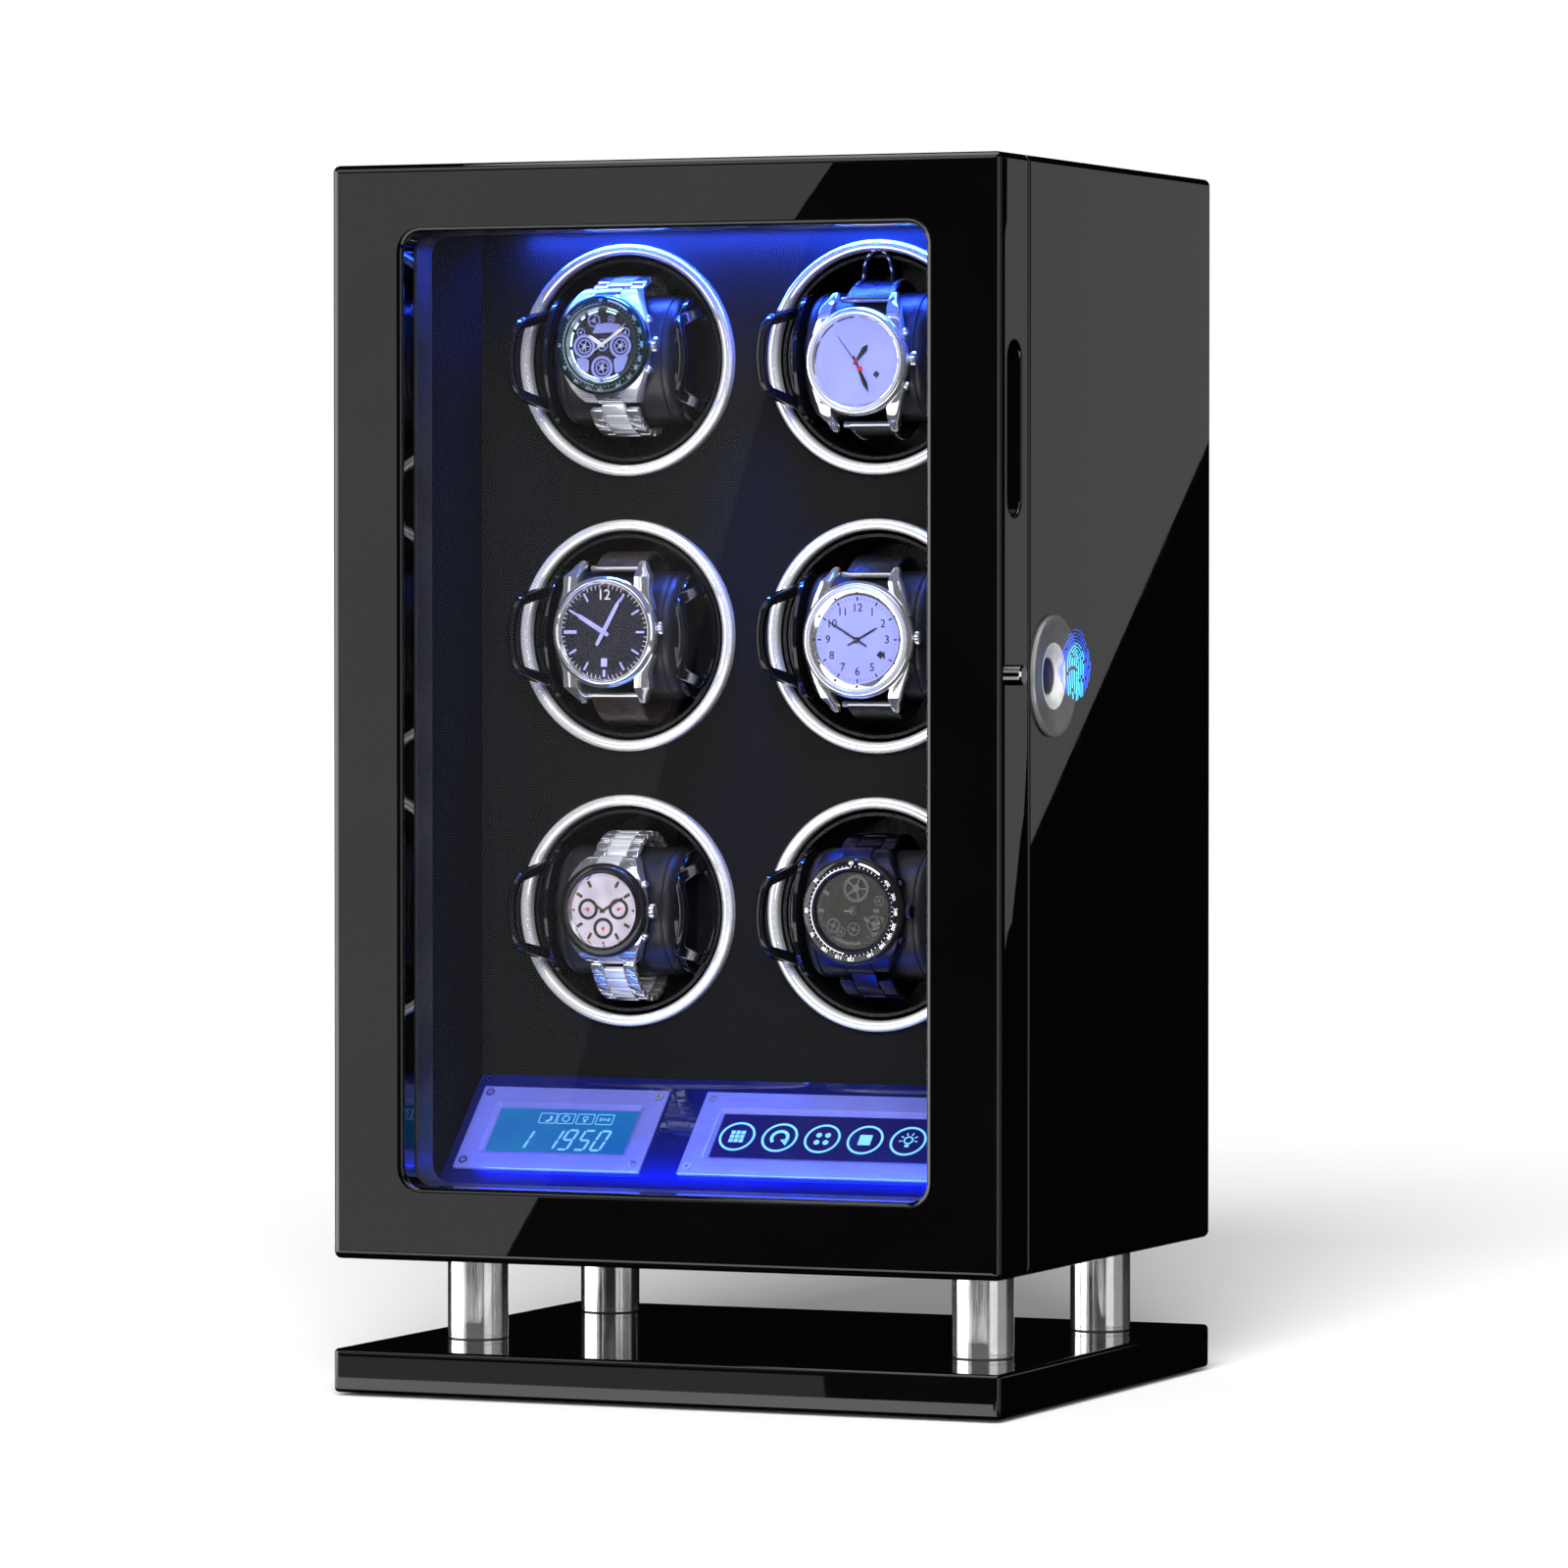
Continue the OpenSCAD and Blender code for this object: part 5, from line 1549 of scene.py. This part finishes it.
def make_lock():
    low = box_mm("lock_escutcheon")[0].x - SHELL_HI.x
    shape = Shape()
    profile = [(6.4, low), (10.6, low), (10.6, 0), (LOCK_R, 0), (LOCK_R, LOCK_OUT - 0.6)]
    for k in range(1, 6):
        a = math.pi / 2 * k / 5
        profile.append((LOCK_R - 0.6 + 0.6 * math.cos(a), LOCK_OUT - 0.6 + 0.6 * math.sin(a)))
    profile += [(r, plate_height(r)) for r in (LOCK_R - 2, 19, 18, 17, 16, 15, 14, 13.2, 12.5)]
    profile += [(12.2, 0.62), (11.9, 0.5), (10.6, 0.24), (6.6, -2.05), (6.4, -2.15)]
    shape.add(lathe(profile, 128, closed=True), LOCK_SPOT)
    obj = shape.build("lock_plate", M["lock"], "root", "lock_metal", 26)
    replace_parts(obj, "lock_escutcheon")
    cup = Shape()
    dish = [(12.0, 0.56), (11.9, 0.62), (10.6, 0.36), (6.9, -1.76), (6.8, -1.9), (10.6, 0.2)]
    cup.add(lathe(dish, 128, closed=True), LOCK_SPOT)
    cup.build("lock_cup", M["lock_cup"], "root", "lock_metal", 40)


def make_fingerprint():
    """Lit ridges that lie over the rear of the plate and on the wall behind it."""
    cy, cz, half_y, half_z = LOCK.y + 22.0, LOCK.z + 3.7, 16.4, 13.2
    rng = random.Random(7)
    bright, dim = Shape(), Shape()

    def on_face(y, z):
        r = math.hypot(y - LOCK.y, z - LOCK.z)
        return Vector((SHELL_HI.x + max(plate_height(r), 0.0) + 0.16, y, z))

    def ridge(points, target):
        path = [on_face(cy + half_y * u, cz + half_z * v) for u, v in points if math.hypot(u, v) < 0.985]
        if len(path) > 3:
            target.add(tube(path, 0.12, 6, False, Vector((1, 0.05, 0.03))))

    for k in range(10):
        size = 0.04 + 0.104 * k
        arch = []
        for j in range(41):
            a = math.pi * j / 40
            arch.append((size * math.cos(a), 0.08 + (0.05 + 0.86 * size) * math.sin(a)))
        left = [(arch[-1][0] * (1 - 0.1 * t), 0.08 - 1.1 * t) for t in [q / 22 for q in range(1, 23)]]
        right = [(arch[0][0] * (1 - 0.25 * t), 0.08 - 1.1 * t) for t in [q / 22 for q in range(1, 23)]]
        whole = right[::-1] + arch + left
        start = rng.randint(0, 4)
        while start < len(whole) - 4:
            run = rng.randint(7, 22)
            ridge(whole[start:start + run], bright if k < 6 else dim)
            start += run + 1
    bright.build("fingerprint_bright", M["print_bright"], "root", "sensor_glass", 60)
    dim.build("fingerprint_dim", M["print_dim"], "root", "sensor_glass", 60)


make_lock()
make_fingerprint()


# ------------------------------------------------------------------ studio

FILL = 0.30                          # daylight that falls on everything; the camera sees plain white instead


def make_studio():
    scene = bpy.context.scene
    scene.view_settings.view_transform = "Standard"
    scene.view_settings.look = "None"
    scene.world = bpy.data.worlds.new("studio")
    scene.world.use_nodes = True
    tree = scene.world.node_tree
    back = tree.nodes["Background"]
    back.inputs["Color"].default_value = (1, 1, 1, 1)
    back.inputs["Strength"].default_value = 1.0
    paths = add_node(tree, "ShaderNodeLightPath")
    fill = add_node(tree, "ShaderNodeBackground", Color=(1, 1, 1, 1), Strength=FILL)
    dark = add_node(tree, "ShaderNodeBackground", Color=(0.002, 0.002, 0.002, 1))
    gloss_mix = add_node(tree, "ShaderNodeMixShader")
    mix = add_node(tree, "ShaderNodeMixShader")
    join(tree, (paths, "Is Glossy Ray", gloss_mix, "Fac"), (fill, 0, gloss_mix, 1), (dark, 0, gloss_mix, 2),
         (paths, "Is Camera Ray", mix, "Fac"), (gloss_mix, 0, mix, 1), (back, 0, mix, 2),
         (mix, 0, tree.nodes["World Output"], "Surface"))


def direction(azimuth, elevation):
    """Unit vector from the box: azimuth 0 is straight ahead of the door, and grows to its right."""
    return Vector((math.sin(azimuth) * math.cos(elevation), -math.cos(azimuth) * math.cos(elevation),
                   math.sin(elevation)))


CAMERA_AIM = Vector((2.3, 0, 222.9))
CAMERA_POS = CAMERA_AIM + 2993.9 * direction(math.radians(22.889), math.radians(1.355))


def make_camera():
    data = bpy.data.cameras.new("camera")
    data.sensor_width = 36
    data.lens = 185.16
    data.clip_end = 100
    camera = put_in_scene("camera", data)
    camera.location = CAMERA_POS * MM
    camera.rotation_euler = look_along(CAMERA_AIM - CAMERA_POS)
    bpy.context.scene.camera = camera


def look_along(direction):
    return Vector(direction).to_track_quat("-Z", "Y").to_euler()


def emitter(name, corners, strength):
    """A flat white studio card, seen only in reflections."""
    mat, tree = new_material(name, with_shader=False)
    glow = add_node(tree, "ShaderNodeEmission", Color=(1, 1, 1, 1), Strength=strength)
    join(tree, (glow, 0, tree.nodes["Material Output"], "Surface"))
    mesh = bpy.data.meshes.new(name)
    mesh.from_pydata([Vector(c) * MM for c in corners], [], [list(range(len(corners)))])
    mesh.materials.append(mat)
    obj = put_in_scene(name, mesh)
    for ray in ("camera", "diffuse", "shadow", "transmission"):
        setattr(obj, f"visible_{ray}", False)


def mirrored_card(name, axis, plane, points, reach, strength):
    """A card that the camera sees mirrored exactly over `points`, on a flat face square to the axis."""
    eye = CAMERA_POS.copy()
    eye[axis] = 2 * plane - eye[axis]
    emitter(name, [Vector(p) + (Vector(p) - eye).normalized() * reach for p in points], strength)


def led_strip(name, where, aim, size, power, colour, spread=180):
    data = bpy.data.lights.new(name, "AREA")
    data.energy = power
    data.color = colour
    data.shape = "RECTANGLE"
    data.size, data.size_y = size[0] * MM, size[1] * MM
    data.spread = math.radians(spread)
    obj = put_in_scene(name, data)
    obj.location = Vector(where) * MM
    obj.rotation_euler = look_along(Vector(aim) - Vector(where))
    obj.visible_camera = False


def make_floor():
    floor_look = Nodes("floor_white", (0.9, 0.9, 0.9), 0.9, Specular_IOR_Level=0.0)
    floor_look.colour(floor_look.noise(3, 2), (0.89, 0.89, 0.89, 1), (0.91, 0.91, 0.91, 1))
    half = 14.0
    mesh = bpy.data.meshes.new("floor")
    corners = [(-half, -half, 0), (half, -half, 0), (half, half, 0), (-half, half, 0)]
    mesh.from_pydata(corners, [], [[0, 1, 2, 3]])
    mesh.materials.append(floor_look.mat)
    floor = put_in_scene("floor", mesh)
    floor.visible_glossy = False


def line_between(a, b):
    """The first coordinate of a slanted edge as a function of the second."""
    return lambda v: a[0] + (b[0] - a[0]) / (b[1] - a[1]) * (v - a[1])


def make_cards():
    top = DOOR_HI.z + 60
    # the front's reflection ends at a slanted edge from the top rail to the bottom rail
    y, low = DOOR_LO.y, 38
    edge = line_between((-55.7, 58.0), (60.8, 444.6))
    corners = [(-220, y, low), (edge(low), y, low), (edge(top), y, top), (-220, y, top)]
    mirrored_card("front_card", 1, y, corners, 4000, 1.02)
    y = BASE_LO.y
    corners = [(-220, y, -40), (65, y, -40), (65, y, 30), (-220, y, 30)]
    mirrored_card("plinth_card", 1, y, corners, 4000, 0.5)
    # the side's reflection starts at a slanted edge that rises to the back
    x = SHELL_HI.x
    edge = line_between((203.2, -80.6), (349.2, 105.2))
    corners = [(x, -125, edge(-125)), (x, 125, edge(125)), (x, 125, top), (x, -125, top)]
    mirrored_card("side_card", 0, x, corners, 2500, 0.36)
    # tall cards round the box that the rounded edges, rings and posts pick up
    around = lambda az, z: (3000 * math.sin(math.radians(az)), -3000 * math.cos(math.radians(az)), z)
    for name, start, end, strength in (("card_left", -95, -34, 4.0), ("card_right", 46, 76, 1.1),
                                       ("card_far_right", 77, 117, 0.35)):
        emitter(name, [around(start, -300), around(end, -300), around(end, 1700),
                       around(start, 1700)], strength)
    corners = [(-1800, -2400, 1500), (1500, -2400, 1500), (1100, -1300, 2600), (-1300, -1300, 2600)]
    emitter("card_front_high", corners, 1.6)
    for name, x0, x1, y0, y1, z, strength in (("card_low", -1600, 900, -1500, -420, -150, 2.4),
                                              ("card_top", -900, 900, -900, 700, 2200, 3.0)):
        emitter(name, [(x0, y0, z), (x1, y0, z), (x1, y1, z), (x0, y1, z)], strength)


def make_lights():
    sun = bpy.data.lights.new("key", "SUN")
    sun.energy = 8.4
    sun.angle = math.radians(35)
    key = put_in_scene("key", sun)
    key.rotation_euler = look_along(-direction(math.radians(16), math.radians(20)))
    key.visible_glossy = False
    lo, hi = box_mm("led_diffusers")
    ceiling, y = hi.z - 8.9, PANEL_LO.y
    led_strip("led_ceiling", (0, y - 4.5, ceiling), (0, y, hi.z - 22), (180, 3), 0.62, (0.02, 0.07, 1.0))
    led_strip("led_down", (0, -50, ceiling), (0, -48, 200), (186, 5), 0.36, (0.02, 0.12, 1.0), 42)
    led_strip("led_floor", (0, -69, lo.z + 10), (0, -55, 81), (190, 4), 0.10, (0.02, 0.07, 1.0), 55)


make_studio()
make_camera()
make_floor()
make_cards()
make_lights()
